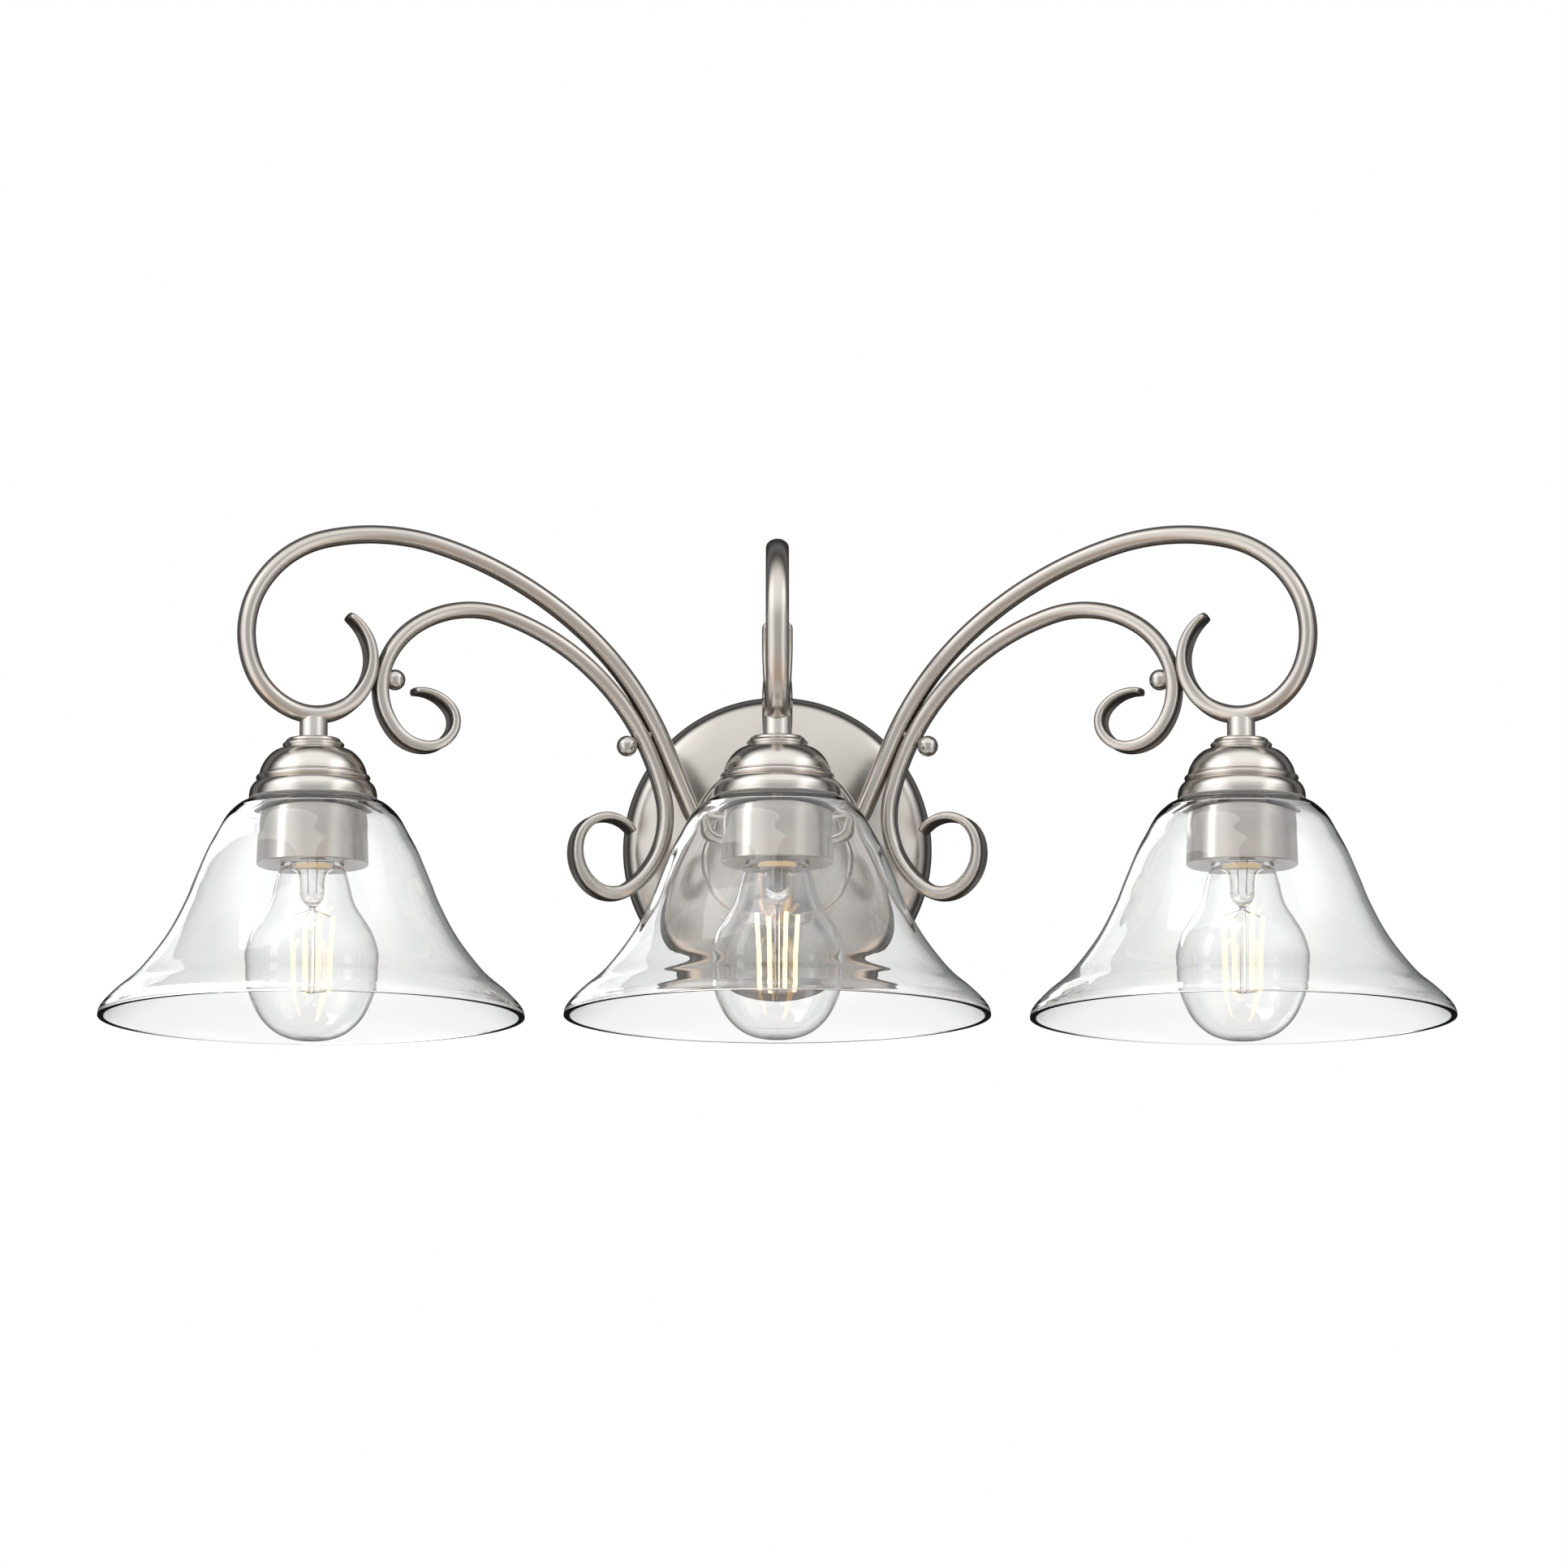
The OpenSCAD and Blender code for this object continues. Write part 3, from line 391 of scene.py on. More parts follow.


# plain material with a fine texture, and a glow where its look gives one: the lit filament's own light, and
# painted light on the basing cement
def makeMatter(name, look):
    finish, tree, shader = newFinish(name)
    place = addNode(tree, "ShaderNodeTexCoord").outputs["Object"]
    marks = fillGroup(tree, handlingMarks, {"Vector": place, "Size": look["markSize"], "Amount": look["marks"]})
    colour = mixColours(tree, marks.outputs["Mask"], look["colour"], look["markColour"])
    tree.links.new(colour, shader.inputs["Base Color"])
    grain = addNode(tree, "ShaderNodeTexNoise", {"Vector": place, "Scale": look["grainSize"], "Detail": 5.0})
    rough = addNode(tree, "ShaderNodeMapRange", {"Value": grain.outputs[0], "To Min": look["roughness"] - 0.08,
                                                 "To Max": look["roughness"] + 0.08})
    tree.links.new(rough.outputs[0], shader.inputs["Roughness"])
    bump = addNode(tree, "ShaderNodeBump", {"Strength": look["bump"], "Distance": 0.0001,
                                            "Height": grain.outputs[0]})
    tree.links.new(bump.outputs[0], shader.inputs["Normal"])
    if look.get("glow"):
        warm = addNode(tree, "ShaderNodeMapRange", {"Value": grain.outputs[0], "To Min": 0.85, "To Max": 1.0})
        lit = addNode(tree, "ShaderNodeVectorMath", {0: look["glowColour"], "Scale": warm.outputs[0]},
                      operation="SCALE")
        tree.links.new(lit.outputs[0], shader.inputs["Emission Color"])
        shader.inputs["Emission Strength"].default_value = look["glow"]
    return finish


porcelainLook = {"colour": (0.86, 0.84, 0.79), "markColour": (0.74, 0.71, 0.64), "marks": 0.4, "markSize": 50.0,
                 "grainSize": 900.0, "roughness": 0.22, "bump": 0.1}
rubberLook = dict(porcelainLook, colour=(0.035, 0.035, 0.037), markColour=(0.07, 0.07, 0.07), roughness=0.6,
                  bump=0.4)
siliconeLook = dict(rubberLook, colour=(0.62, 0.62, 0.61), markColour=(0.5, 0.5, 0.5))
leadLook = dict(rubberLook, colour=(0.03, 0.03, 0.032), roughness=0.45)
nutLook = dict(rubberLook, colour=(0.72, 0.26, 0.04), markColour=(0.58, 0.2, 0.03), roughness=0.4)
# the basing cement glows: painted light, standing in for lamp light that reaches the bottom of the base inside
# the glass
cementPaintedGlowLook = dict(porcelainLook, colour=(0.62, 0.44, 0.20), markColour=(0.5, 0.34, 0.14), roughness=0.45,
                  glow=0.7, glowColour=(0.72, 0.50, 0.22))
filamentLook = dict(porcelainLook, colour=(0.95, 0.66, 0.22), markColour=(0.85, 0.52, 0.15), roughness=0.5,
                    grainSize=1500.0, glow=4.0, glowColour=(1.0, 0.60, 0.22))
finishes.update({
    "porcelain": makeMatter("glazedPorcelain", porcelainLook),
    "silicone": makeMatter("gasketSilicone", siliconeLook),
    "lead": makeMatter("leadInsulation", leadLook),
    "nut": makeMatter("wireNutPlastic", nutLook),
    "cement": makeMatter("basingCementPaintedGlow", cementPaintedGlowLook),
    "filament": makeMatter("litFilament", filamentLook),
})
print("materials made:", len(finishes))


# gives a piece its finish, in a single material slot
def dress(piece, finish):
    piece.data.materials.clear()
    piece.data.materials.append(finishes[finish])


# dresses a piece, puts it on its body and takes the place of the CAD nodes named
def fixPiece(piece, finish, nodes, body="fixture"):
    dress(piece, finish)
    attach(piece, body)
    if nodes:
        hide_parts(*nodes)


def middleOf(node):
    low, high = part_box(node)
    return (low + high) / 2


# top of each lamp holder, on its axis
lampAxis = {side: Vector((*middleOf("cap_" + side).xy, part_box("cap_" + side)[1].z)) for side in sides}


# bends are [radius, turn in degrees] or [length, 0] in millimetres, from the hub outward
tubes = {
    "hubOut": 42.0, "mouth": 11.5, "loopScale": 0.94,
    "thick": 8.3, "wide": 10.5, "scrollThick": 7.6, "scrollWide": 9.8, "tipWide": 14.0, "tipThick": 2.8,
    "side": [[13.3, 0], [18.5, 66], [31.2, 0], [144.2, -26], [175.6, -25], [104.8, -30], [50.4, -45],
             [42.4, -50], [33.2, -50], [26.9, -50], [26.2, -50], [23.8, -67.6]],
    "sideScroll": [[18.3, 60], [10.4, 70], [13.9, 60], [18.7, 50], [30, 50], [38.5, 45], [49.4, 50],
                   [109.6, 60], [41, 70], [14.3, 70], [20.2, 70], [14.5, 130.6]],
    "sideScrollFrom": (173.64, 58.47), "sideScrollHeading": 171.3,
    "middleScroll": [[13.2, 60], [9.2, 70], [10.3, 60], [14.8, 50], [23.4, 50], [20.8, 44], [16.3, 120],
                     [60, 8]],
    "middleScrollFrom": (30.5, 57), "middleScrollHeading": 166.1,
    "sideStuds": [[88.8, 6.4], [249, 8.2]], "middleStuds": [[73.2, 6.4], [118, 8.6]],
    "ball": 9.5, "stud": 1.6, "studIn": 5.6,
    "middleScrollLevel": 44.2,  # height of the loop that middleScrollFrom was laid out beside
    "sideFlat": (112, 92), "middleFlat": (62, 30),  # how far the scrolls' ends take to flatten
    "loopRound": 7, "endRound": 3, "bead": 3.4, "beadTip": 0.9, "endNarrow": 0.6,
}


def bendStep(heading, radius, turn):
    h, t = math.radians(heading), math.radians(turn)
    if turn == 0:
        return radius * math.cos(h), radius * math.sin(h)
    s = math.copysign(radius, turn)
    return s * (math.sin(h + t) - math.sin(h)), s * (math.cos(h) - math.cos(h + t))


# stations of [along, up, heading, length so far]
def walkBends(bends, start, heading, scale=1.0, spacing=1.4):
    x, z = start
    out = [[x, z, heading, 0.0]]
    for radius, turn in bends:
        radius *= scale
        run = radius if turn == 0 else radius * math.radians(abs(turn))
        count = max(2, round(run / spacing))
        for j in range(1, count + 1):
            dx, dz = bendStep(heading, radius * j / count if turn == 0 else radius, turn * j / count)
            out.append([x + dx, z + dz, heading + turn * j / count, out[-1][3] + run / count])
        x, z = out[-1][0], out[-1][1]
        heading += turn
    return out


def stationAt(stations, length):
    for a, b in zip(stations, stations[1:]):
        if b[3] >= length:
            f = (length - a[3]) / (b[3] - a[3])
            return [p + f * (q - p) for p, q in zip(a, b)]
    return stations[-1]


def ease(x):
    c = min(1.0, max(0.0, x))
    return c * c * (3 - 2 * c)


# round (oval) at flat 0, a pinched channel half way and a strip at flat 1
def tubeSection(thick, wide, flat, narrow, count=56):
    tipThick, tipWide = tubes["tipThick"], tubes["tipWide"]
    mid = thick / 2 + (tipThick / 2 - thick / 2) * ease(1.5 * flat)
    bead = tubes["bead"] * math.sin(math.pi * min(1, flat * 0.9 + 0.1 * ease(flat))) + tubes["beadTip"] * flat
    half = (wide + (tipWide - wide) * ease(1.25 * flat)) / 2
    out = []
    for k in range(count):
        a = 2 * math.pi * k / count
        out.append((math.cos(a) * (mid + bead * math.sin(a) ** 2 * min(1, flat * 4)),
                    math.sin(a) * half * narrow))
    return out


# each arm's upright plane, as a turn about the hub's upright axis
reach = lampAxis["right"].x / mm
sideYaw = math.atan2(-lampAxis["right"].y / mm - tubes["hubOut"], reach)
planeTurn = {"left": math.pi + sideYaw, "middle": -math.pi / 2, "right": -sideYaw}


def fromPlane(side, along, out, up):
    a = planeTurn[side]
    return Vector((along * math.cos(a) - out * math.sin(a),
                   -tubes["hubOut"] + along * math.sin(a) + out * math.cos(a), up)) * mm


def sweepTube(name, side, stations, thick, wide, leadIn, leadOut):
    total, endRound, narrowest = stations[-1][3], tubes["endRound"], tubes["endNarrow"]
    rings, lengths = [], []
    endSteps = (0, 0.25, 0.7, 1.4, 2.3)
    fine = [s for s in stations if (leadIn <= 0 or s[3] > endRound) and s[3] < total - endRound]
    if leadIn > 0:
        fine = [stationAt(stations, d) for d in endSteps] + fine
    fine += [stationAt(stations, total - d) for d in endSteps[::-1]]
    for x, z, heading, run in fine:
        h = math.radians(heading)
        flat = max(1 - run / leadIn if leadIn > 0 else 0, 1 - (total - run) / leadOut, 0)
        near = min(run, total - run) if leadIn > 0 else total - run
        rounding = math.sqrt(max(0, 1 - (1 - min(1, near / endRound)) ** 2))
        narrow = narrowest + (1 - narrowest) * rounding
        rings.append([fromPlane(side, x - math.sin(h) * across, out, z + math.cos(h) * across)
                      for across, out in tubeSection(thick, wide, flat, narrow)])
        lengths.append(run * mm)
    return sweepMesh(name, rings, lengths)


sideLowBend, middleLowBend, lowTurn = 9, 7, -20


# the point of the loop where the tube runs level, and the length to it
def lowPoint(bends, start, heading, index):
    x, z = start
    run = 0.0
    for radius, turn in bends[:index]:
        dx, dz = bendStep(heading, radius, turn)
        x, z, heading = x + dx, z + dz, heading + turn
        run += radius if turn == 0 else radius * math.radians(abs(turn))
    dx, dz = bendStep(heading, bends[index][0], lowTurn)
    return x + dx, z + dz, run + bends[index][0] * math.radians(abs(lowTurn))


sideReach = math.hypot(reach, -lampAxis["right"].y / mm - tubes["hubOut"])
lowX, lowZ, lowRun = lowPoint(tubes["side"], (tubes["mouth"], 0), 0, sideLowBend)
sideScale = (sideReach - tubes["mouth"]) / (lowX - tubes["mouth"])
levelZ = lowZ * sideScale
sideStations = walkBends(tubes["side"], (tubes["mouth"], 0), 0, sideScale)
loop = tubes["loopScale"]
middleBends = [[130, -20], [42, -40], [33, -30], [104.8 * loop, -15], [50.4 * loop, -45], [42.4 * loop, -50],
               [33.2 * loop, -50], [26.9 * loop, -50], [26.2 * loop, -50], [23.8 * loop, -67.6]]
midLowX, midLowZ, midRun = lowPoint(middleBends, (0, 0), 90, middleLowBend)
middleReach = -lampAxis["middle"].y / mm - tubes["hubOut"]
middleScale = middleReach / midLowX
riser = levelZ - midLowZ * middleScale - tubes["mouth"]
middleStations = walkBends([[riser / middleScale, 0]] + middleBends, (0, tubes["mouth"]), 90, middleScale)
scrollFrom = (tubes["mouth"] + (tubes["sideScrollFrom"][0] - tubes["mouth"]) * sideScale,
              tubes["sideScrollFrom"][1] * sideScale)
scrollStations = walkBends(tubes["sideScroll"], scrollFrom, tubes["sideScrollHeading"], sideScale)
middleScrollFrom = (tubes["middleScrollFrom"][0] * middleScale,
                    levelZ + (tubes["middleScrollFrom"][1] - tubes["middleScrollLevel"]) * middleScale)
middleScrollStations = walkBends(tubes["middleScroll"], middleScrollFrom, tubes["middleScrollHeading"],
                                 middleScale)

for side in sides:
    isMiddle = side == "middle"
    path = middleStations if isMiddle else sideStations
    scale = middleScale if isMiddle else sideScale
    toLow = riser + midRun * middleScale if isMiddle else lowRun * sideScale
    armTube = sweepTube("armTube_" + side, side, path, tubes["thick"], tubes["wide"], 0,
                        path[-1][3] - toLow - tubes["loopRound"])
    fixPiece(armTube, "tube", ["arm_" + side])
    scrollPath = middleScrollStations if isMiddle else scrollStations
    leadIn, leadOut = tubes["middleFlat" if isMiddle else "sideFlat"]
    scrollTube = sweepTube("scrollTube_" + side, side, scrollPath, tubes["scrollThick"], tubes["scrollWide"],
                           leadIn * scale, leadOut * scale)
    fixPiece(scrollTube, "tube", ["scroll_" + side])


# ball heads on their studs
def ballStud(side, path, length, offset):
    x, z, heading, run = stationAt(path, length)
    h = math.radians(heading)
    centre = fromPlane(side, x - math.sin(h) * offset, 0, z + math.cos(h) * offset)
    tip = fromPlane(side, x + math.sin(h) * tubes["studIn"], 0, z - math.cos(h) * tubes["studIn"])
    r = tubes["ball"] / 2
    away = tip - centre
    profile = [(0, r)]
    profile += [(r * math.sin(math.radians(a)), r * math.cos(math.radians(a))) for a in range(6, 158, 6)]
    profile += [(tubes["stud"], -r * 0.94), (tubes["stud"], -away.length / mm), (0, -away.length / mm)]
    piece = latheMesh("ballPart", profile, Vector((0, 0, 0)), segments=48, closed=False)
    piece.data.transform(Matrix.Translation(centre) @ away.to_track_quat("-Z", "Y").to_matrix().to_4x4())
    return piece


studParts = []
for side in sides:
    path = middleScrollStations if side == "middle" else scrollStations
    scale = middleScale if side == "middle" else sideScale
    for length, offset in tubes["middleStuds" if side == "middle" else "sideStuds"]:
        studParts.append(ballStud(side, path, length * scale, offset))
studs = joinPieces("ballStuds", studParts)
fixPiece(studs, "polished", ["ball_studs"])
print("tubes and studs made")


canopy = {"radius": (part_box("canopy")[1].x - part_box("canopy")[0].x) / 2 / mm, "depth": 24.0, "wall": 1.2}


def canopyProfile():
    r, h, w = canopy["radius"], canopy["depth"], canopy["wall"]
    step, stepUp = r * 0.545, h - 3

    def skin(t):
        curve = smoothCurve([(r - t, 0), (r - 0.7 - t, h * 0.2), (r - 4.5 - t * 0.8, h * 0.43),
                             (r - 11 - t * 0.4, h * 0.57 - t * 0.6), (r * 0.7, h * 0.72 - t),
                             (step + 1.6, stepUp - 0.9 - t)], 10)
        return curve + [(step - t, stepUp + 1.1 - t), (step - 2.2 - t, stepUp + 1.9 - t)]

    outer = roundCorners(skin(0) + [(5, h)], 1.1, 5)
    return outer + [(5, h - w)] + skin(w)[::-1]


canopyPlate = latheMesh("canopyDome", canopyProfile(), Vector((0, 0, 0)), segments=160, toWall=True)
fixPiece(canopyPlate, "dome", ["canopy"])

finial = {"ball": 7.4, "ballUp": 8.4, "squash": 0.8, "high": 14.4}
finialProfile = roundCorners([(4.9, 0), (8, 0), (8, 2.4), (6.6, 3.4)], 0.5, 4)
for degrees in range(-20, 90, 6):
    a = math.radians(degrees)
    finialProfile.append((finial["ball"] * math.cos(a),
                          finial["ballUp"] + finial["ball"] * math.sin(a) * finial["squash"]))
finialProfile.append((0, finial["high"]))
finialKnob = latheMesh("finialKnob", [(0, 8), (4.9, 8)] + finialProfile, Vector((0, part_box("finial")[1].y, 0)),
                       segments=72, closed=False, toWall=True)
fixPiece(finialKnob, "polished", ["finial"])
print("canopy made")


holder = {"lip": 57.8, "height": 27.6, "press": -27.0}


def holderProfile():
    lip = holder["lip"] / 2
    outer = [(5, 0), (11.4, 0), (12.2, -0.6), (12.3, -1.4), (13.2, -1.8), (13.9, -2.5), (13.9, -3.2),
             (13.3, -3.9)]
    outer += smoothCurve([(13.6, -4.4), (17.6, -5.9), (21, -9), (23.3, -12.8), (24.3, -16)], 8)
    outer += [(23.9, -16.7)]
    outer += [(24.6 + 1.2 * math.cos(math.radians(a)), -18 + 1.2 * math.sin(math.radians(a)))
              for a in range(80, -84, -12)]
    outer += smoothCurve([(lip - 3.4, -19.6), (lip - 1.7, -21.1), (lip - 0.5, -23.2),
                          (lip, -holder["height"] + 2)], 7)
    outer += [(lip, -holder["height"] + 0.3), (lip - 0.3, -holder["height"]), (lip - 1.1, -holder["height"])]
    inner = [(lip - 1.1, holder["press"]), (22, holder["press"]), (22, -14.6), (20.8, -11.4), (18.2, -8.4),
             (15.4, -6.8), (11.4, -5.2), (10.6, -1.6), (5, -1.6)]
    return roundCorners(outer + inner, 0.2, 3, closed=True)


collar = {"top": -31.3, "bottom": -58.0, "wide": 50.5, "wall": 1.2, "plate": 3.0, "bore": 18.95,
          "mouth": 14.3}


def collarProfile():
    r, top, bottom = collar["wide"] / 2, collar["top"], collar["bottom"]
    wall, mouth = collar["wall"], collar["mouth"]
    return roundCorners([(collar["bore"], top), (r - 1.3, top), (r - 0.7, top - 0.6), (r, bottom + 0.4),
                         (r - 0.4, bottom), (mouth, bottom), (mouth, bottom + wall), (r - wall, bottom + wall),
                         (r - 0.7 - wall, top - collar["plate"]), (collar["bore"], top - collar["plate"])],
                        0.35, 3, closed=True)


shade = {
    "wide": 192.0, "high": 98.5, "glass": 2.8, "hole": 42.0, "top": -28.2, "seat": 25.85,
    "shoulder": 0.9, "shoulderHigh": 30.0, "innerFrom": 31.4,
    "curve": [(0.300, 0.002), (0.347, 0.021), (0.404, 0.075), (0.452, 0.157), (0.497, 0.240), (0.553, 0.370),
              (0.602, 0.487), (0.686, 0.639), (0.810, 0.795), (0.916, 0.885), (0.972, 0.940), (0.994, 0.972),
              (1, 1)],
}


def shadeProfile():
    g, top = shade["glass"], shade["top"]
    outer = smoothCurve([(r * shade["wide"] / 2, -h * shade["high"]) for r, h in shade["curve"]], 8)
    inner = [(r, h - shade["shoulder"] * ease(1 + h / shade["shoulderHigh"]) if h < 0 else h)
             for r, h in besideCurve(outer, g)]
    inner = [p for p in inner if p[0] > shade["innerFrom"]]
    end = outer[-1]
    rim = [(end[0] - g / 2 + g / 2 * math.cos(math.radians(a)), end[1] + 0.2 - 0.65 * math.sin(math.radians(a)))
           for a in range(20, 165, 12)]
    seat = [(shade["seat"], -g), (shade["hole"] / 2, -g)]
    full = [(shade["hole"] / 2, 0)] + outer[:-1] + rim + inner[::-1][1:] + seat
    return [(r, h + top) for r, h in full]


shell = {"bore": 26.4, "wall": 0.4, "bottom": -56.65, "high": 23.5}


def shellProfile():
    ri, ro, low, high = shell["bore"] / 2, shell["bore"] / 2 + shell["wall"], shell["bottom"], shell["high"]
    return roundCorners([(ri, low + high), (ro, low + high), (ro, low), (ri, low)], 0.15, 2, closed=True)


bulb = {"wide": 60.0, "high": 79.8, "wall": 0.9, "bottom": -57.3, "base": 13.15, "pitch": 3.63, "turns": 5,
        "baseHigh": 20.0,
        "curve": [(0.433, 0), (0.5, 0.045), (0.56, 0.13), (0.64, 0.238), (0.78, 0.33), (0.9, 0.402),
                  (0.975, 0.484), (1, 0.565), (0.98, 0.665), (0.91, 0.765), (0.765, 0.872), (0.54, 0.953),
                  (0.28, 0.992), (0, 1)]}


def bulbProfile():
    outer = smoothCurve([(r * bulb["wide"] / 2, -h * bulb["high"]) for r, h in bulb["curve"]], 8)
    inner = besideCurve(outer[:-1], bulb["wall"])
    inner = [p for p in inner if p[1] < -3 and p[0] > 0.5]
    bottom = [(0, -bulb["high"]), (0, -bulb["high"] + bulb["wall"])]
    return [(12.0, 0.3), (12.6, 0.2)] + outer[:-1] + bottom + inner[::-1] + [(11.9, -0.8)]


def baseProfile():
    crest, root = bulb["base"], bulb["base"] - 0.9
    out = [(0, 0.4), (12.4, 0.4), (12.8, 0.8), (12.8, 1.2)]
    for t in range(bulb["turns"]):
        for j in range(10):
            wave = 0.5 - 0.5 * math.cos(2 * math.pi * j / 10)
            out.append((root + (crest - root) * wave ** 0.8, 1.6 + (t + j / 10) * bulb["pitch"]))
    high = bulb["baseHigh"]
    return out + [(root, 1.6 + bulb["turns"] * bulb["pitch"]), (11, high + 1), (6, high + 4.6),
                  (4.8, high + 4.8), (4.8, high + 5.6), (3, high + 6.3), (0, high + 6.3)]


stem = {"rodEnd": 58.6, "high": 20.4, "spin": 23.0, "filamentOut": 10.0, "filamentTop": 25.0,
        "filamentLong": 33.0, "lean": 3.2, "filament": 0.95, "wire": 0.3, "leadOut": 2.2}


def stemProfile():
    outer = smoothCurve([(10.6, -1), (6.6, -4), (5.6, -9), (5.4, -15), (4.2, -18.4),
                         (1.4, -stem["high"] - 0.8)], 6)
    rod = [(1.3, -stem["high"] - 2), (1.3, -stem["rodEnd"] + 1), (0.9, -stem["rodEnd"] + 0.2),
           (0, -stem["rodEnd"])]
    inner = smoothCurve([(0, -17.4), (2.6, -16.6), (4.5, -13.4), (4.7, -9), (5.6, -4.8), (9.6, -1.2)], 5)
    return outer + rod + inner


# a round bar between two points
def barMesh(name, start, end, radius, segments=20, rounding=0.35):
    along = end - start
    long = along.length / mm
    r, c = radius, min(radius * rounding, long / 4)
    profile = [(0, 0), (r - c, 0), (r - c * 0.3, c * 0.3), (r, c), (r, long - c), (r - c * 0.3, long - c * 0.3),
               (r - c, long), (0, long)]
    piece = latheMesh(name, profile, Vector((0, 0, 0)), segments=segments, closed=False, sharpAngle=60)
    piece.data.transform(Matrix.Translation(start) @ along.to_track_quat("Z", "Y").to_matrix().to_4x4())
    return piece


# a place at the given radius, height and angle from an axis
def turnedAbout(axis, radius, height, angle):
    a = math.radians(angle)
    return axis + Vector((radius * math.cos(a), radius * math.sin(a), height)) * mm


# two lead-in wires, four filament strips and the wires that hold them
def wiresAndStrips(base):
    wires, strips = [], []
    for x in (-stem["leadOut"], stem["leadOut"]):
        start, end = Vector((x, 0, 0.2)), Vector((x * 0.8, 0, -15.2))
        wires.append(barMesh("wirePart", base + start * mm, base + end * mm, stem["wire"]))
    top, out, lean = -stem["filamentTop"], stem["filamentOut"], math.radians(stem["lean"])
    lowOut, bottom = out - stem["filamentLong"] * math.sin(lean), top - stem["filamentLong"] * math.cos(lean)
    for k in range(4):
        angle = stem["spin"] + 90 * k
        strips.append(barMesh("stripPart", turnedAbout(base, out, top, angle),
                              turnedAbout(base, lowOut, bottom, angle), stem["filament"]))
        wires.append(barMesh("wirePart", turnedAbout(base, 0.8, top + 3, angle),
                             turnedAbout(base, out - 0.7, top - 0.6, angle), stem["wire"]))
        wires.append(barMesh("wirePart", turnedAbout(base, 0.9, bottom - 0.2, angle),
                             turnedAbout(base, lowOut - 0.7, bottom + 0.8, angle), stem["wire"]))
    return wires, strips


for side in sides:
    axis = lampAxis[side]
    base = axis + Vector((0, 0, bulb["bottom"] * mm))
    bulbBody, collarBody = "bulb_" + side, "collar_" + side
    fixPiece(latheMesh("holderCap_" + side, holderProfile(), axis, 128), "turned",
             ["cap_" + side])
    fixPiece(latheMesh("shadeCollar_" + side, collarProfile(), axis, 128), "collar",
             ["collar_" + side], collarBody)
    fixPiece(latheMesh("bellShade_" + side, shadeProfile(), axis, 160, sharpAngle=60), "shadeGlass",
             ["shade_" + side])
    fixPiece(latheMesh("screwShell_" + side, shellProfile(), axis, 96), "brass", ["shell_" + side])
    bulbBase = latheMesh("bulbBase_" + side, baseProfile(), base, 96, closed=False)
    fixPiece(bulbBase, "thread", ["bulb_base_" + side], bulbBody)
    # the bottom ring of the base gets the cement finish, with its painted glow
    bulbBase.data.materials.append(finishes["cement"])
    for polygon in bulbBase.data.polygons:
        if polygon.center.z < base.z + 0.9 * mm:
            polygon.material_index = 1
    envelope = latheMesh("bulbEnvelope_" + side, bulbProfile(), base, 96, sharpAngle=60)
    fixPiece(envelope, "bulbGlass", ["bulb_glass_" + side], bulbBody)
    glassStem = latheMesh("glassStem_" + side, stemProfile(), base, 48, sharpAngle=60)
    fixPiece(glassStem, "stemGlass", ["bulb_stem_" + side], bulbBody)
    wires, strips = wiresAndStrips(base)
    fixPiece(joinPieces("filamentStrips_" + side, strips), "filament", ["filaments_" + side],
             bulbBody)
    fixPiece(joinPieces("supportWires_" + side, wires), "zinc", [], bulbBody)
print("lamp holders, shades and bulbs made")


kept = {"mounting_bracket": "zinc", "ground_screw": "green", "centre_pipe": "zinc", "pipe_nuts": "zinc",
        "hub": "hub", "lamp_pipes": "zinc", "lamp_nuts": "zinc", "contacts": "zinc", "gaskets": "silicone",
        "wire_nuts": "nut"}
kept.update({"neck_" + side: "neck" for side in sides})
kept.update({"socket_" + side: "porcelain" for side in sides})
kept.update({"lead_" + side: "lead" for side in sides})
for node, finish in kept.items():  # CAD nodes that stay as they are, with a finish
    dress(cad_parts[node], finish)


studio = {"floorDepth": -1.25, "floorColour": (0.86, 0.86, 0.86)}
floorMesh = bpy.data.meshes.new("floor")
floorMesh.from_pydata([(-9, -9, studio["floorDepth"]), (9, -9, studio["floorDepth"]),
                       (9, 9, studio["floorDepth"]), (-9, 9, studio["floorDepth"])], [], [(0, 1, 2, 3)])
floorPiece = bpy.data.objects.new("floor", floorMesh)
bpy.context.scene.collection.objects.link(floorPiece)
floorFinish, floorTree, floorShader = newFinish("paleFloor")
floorNoise = addNode(floorTree, "ShaderNodeTexNoise", {"Scale": 3.0})
floorRough = addNode(floorTree, "ShaderNodeMapRange", {"Value": floorNoise.outputs[0], "To Min": 0.7,
                                                       "To Max": 0.9})
floorTree.links.new(floorRough.outputs[0], floorShader.inputs["Roughness"])
floorShader.inputs["Base Color"].default_value = (*studio["floorColour"], 1)
floorPiece.data.materials.append(floorFinish)
floorPiece.visible_glossy = False

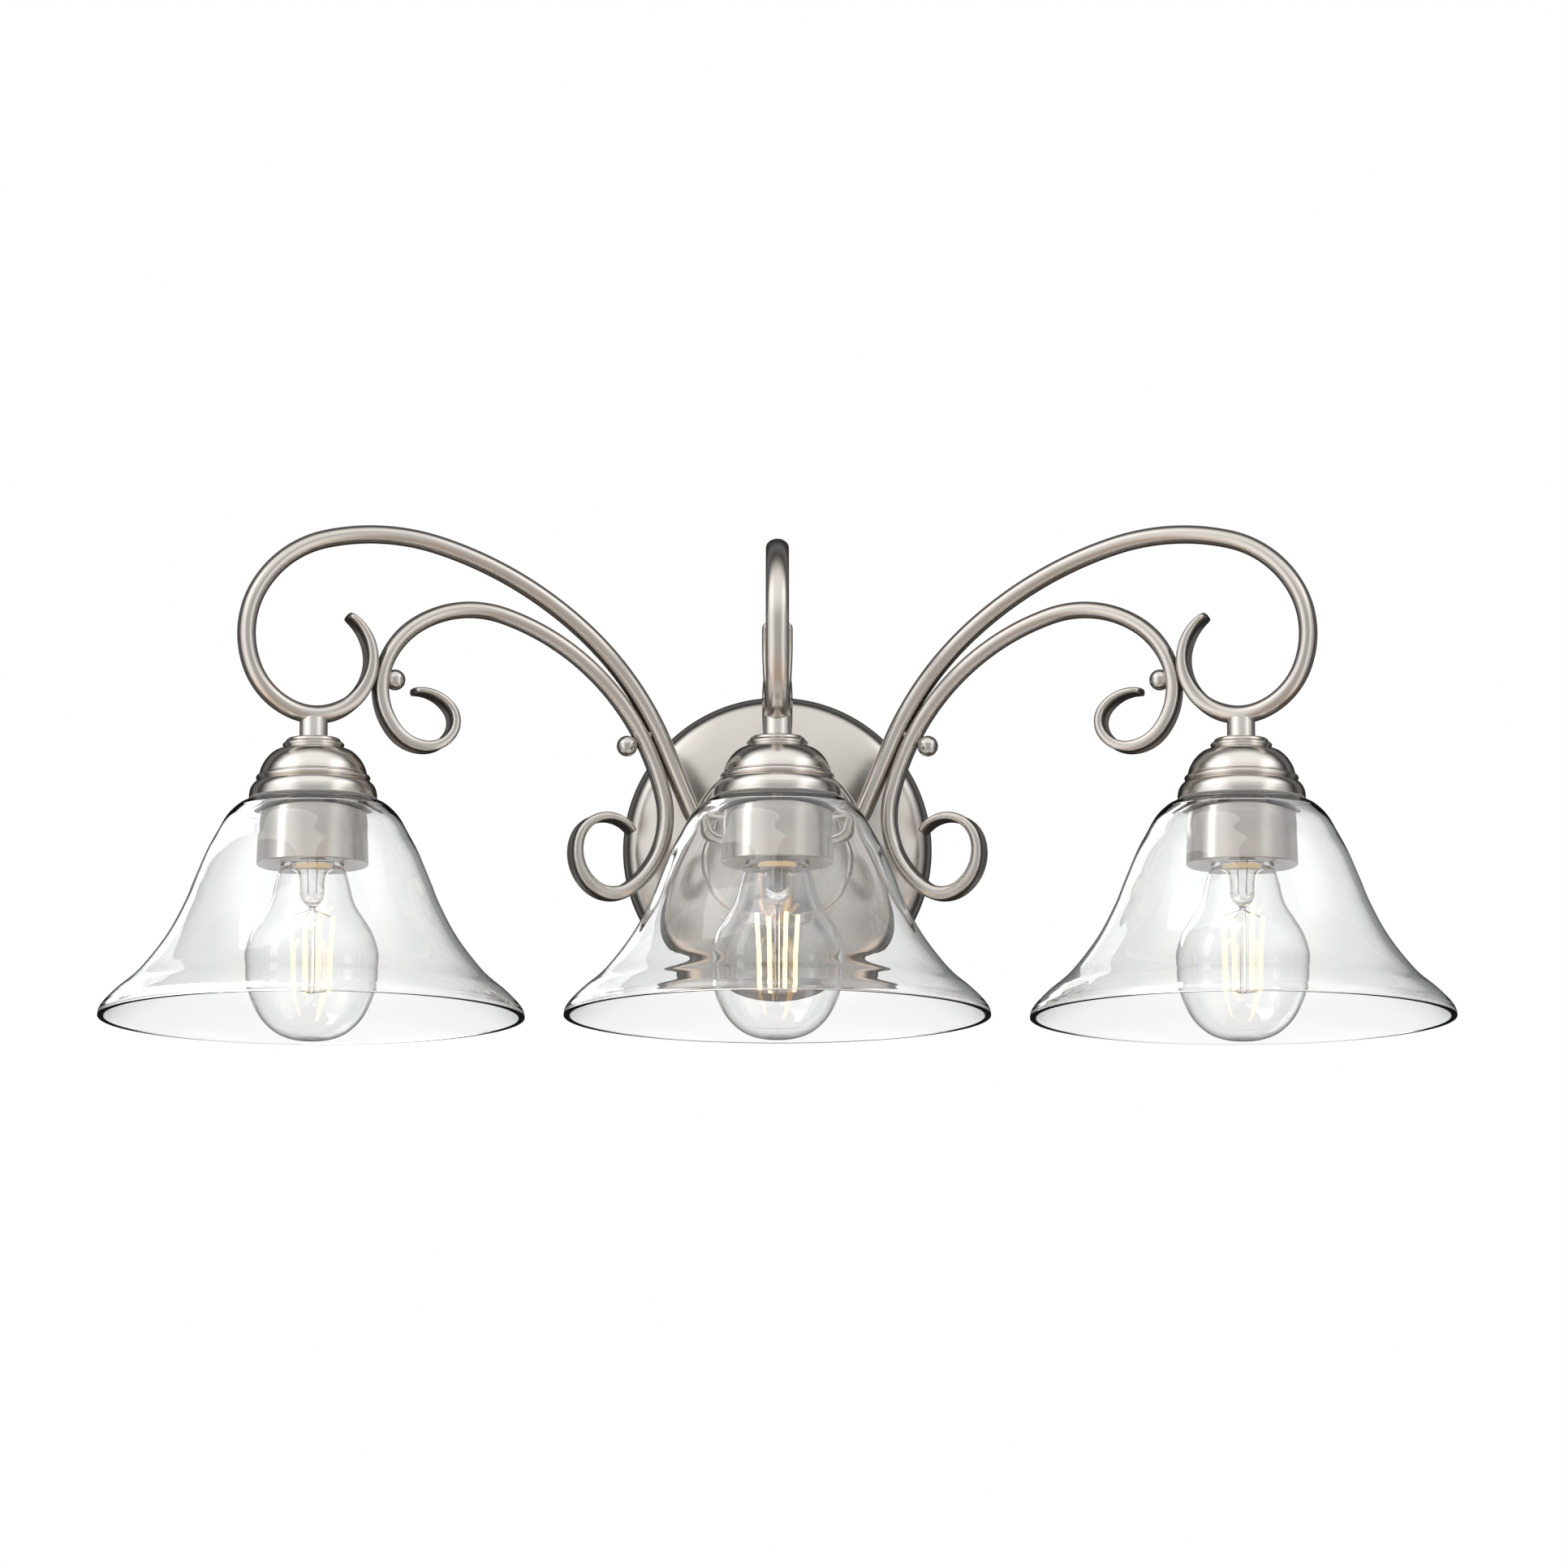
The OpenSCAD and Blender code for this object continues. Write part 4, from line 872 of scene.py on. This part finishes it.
# soft white room. Mirrored rays find two tall panels, a wide one overhead, a warm floor and a dark far wall.
room = {"front": 0.58, "leftPanel": 0.85, "rightPanel": 0.8, "top": 0.65, "rear": 0.16, "farWall": 0.02,
        "throughGlass": 0.55, "warm": (1.0, 0.84, 0.70)}
world = bpy.data.worlds.new("softRoom")
bpy.context.scene.world = world
world.use_nodes = True
world.cycles.sampling_method = "NONE"
worldTree = world.node_tree
background = worldTree.nodes["Background"]
ray = addNode(worldTree, "ShaderNodeLightPath")
direction = addNode(worldTree, "ShaderNodeTexCoord")
parts = addNode(worldTree, "ShaderNodeSeparateXYZ", {0: direction.outputs["Generated"]})
toSide, toBack, toTop = parts.outputs[0], parts.outputs[1], parts.outputs[2]


def rise(value, start, end, low, high):
    return addNode(worldTree, "ShaderNodeMapRange", {0: value, 1: start, 2: end, 3: low, 4: high},
                   interpolation_type="SMOOTHSTEP").outputs[0]


def sums(a, b, operation="ADD"):
    return maths(worldTree, a, b, operation)


def panelAt(place, spread, strength):
    offset = sums(sums(toSide, -place), 0.0, "ABSOLUTE")
    return rise(offset, 0.0, spread, strength, 0.0)


isFront = rise(toBack, -0.25, 0.3, 1.0, 0.0)
isRear = sums(rise(toBack, 0.35, 0.5, 0.0, 1.0), rise(toBack, 0.66, 0.8, 1.0, 0.0), "MULTIPLY")
panels = sums(panelAt(-0.74, 0.5, room["leftPanel"]), panelAt(0.72, 0.24, room["rightPanel"]))
lit = sums(sums(panels, room["front"]), rise(toTop, 0.3, 0.75, 0.0, room["top"]))
mirrored = sums(sums(sums(lit, isFront, "MULTIPLY"), sums(isRear, room["rear"], "MULTIPLY")), room["farWall"])
reflected = sums(ray.outputs["Glossy Depth"], 1.0, "MINIMUM")
# a reflection seen through glass keeps part of the plain white, so clear edges stay light
clearShare = addNode(worldTree, "ShaderNodeMapRange", {0: ray.outputs["Is Transmission Ray"], 3: 1.0,
                                                       4: room["throughGlass"]}).outputs[0]
bounced = sums(reflected, clearShare, "MULTIPLY")
strength = addNode(worldTree, "ShaderNodeMix", {0: bounced, 2: 1.0, 3: mirrored})
worldTree.links.new(strength.outputs[0], background.inputs["Strength"])
warmShare = sums(rise(toTop, -0.75, -0.2, 1.0, 0.0), bounced, "MULTIPLY")
tinted = mixColours(worldTree, warmShare, (1, 1, 1), room["warm"])
worldTree.links.new(tinted, background.inputs["Color"])


def softLight(name, place, aim, wide, high, power):
    data = bpy.data.lights.new(name, "AREA")
    data.shape, data.size, data.size_y = "RECTANGLE", wide, high
    data.energy = power
    lamp = bpy.data.objects.new(name, data)
    lamp.location = place
    lamp.rotation_mode = "QUATERNION"
    lamp.rotation_quaternion = (Vector(aim) - Vector(place)).to_track_quat("-Z", "Y")
    lamp.visible_glossy = False
    bpy.context.scene.collection.objects.link(lamp)


# place, width, height and watts of each soft light
lights = {"overhead": ((-0.8, -0.9, 2.2), 2.4, 1.0, 16), "leftPanel": ((-2.6, -1.2, 0.9), 0.8, 2.2, 9),
          "rearPanel": ((-1.2, 2.6, 1.5), 1.6, 1.6, 14)}
for name, (place, wide, high, power) in lights.items():
    softLight(name, place, (0, -0.1, 0), wide, high, power)

view = {"place": (0.0, -4.0, -0.594), "aim": (0.003, -0.100, 0.0156), "lens": 200.4}
cameraData = bpy.data.cameras.new("camera")
cameraData.lens, cameraData.sensor_width = view["lens"], 36
camera = bpy.data.objects.new("camera", cameraData)
camera.location = view["place"]
camera.rotation_mode = "QUATERNION"
camera.rotation_quaternion = (Vector(view["aim"]) - Vector(view["place"])).to_track_quat("-Z", "Y")
bpy.context.scene.collection.objects.link(camera)
bpy.context.scene.camera = camera
bpy.context.scene.view_settings.view_transform = "Standard"
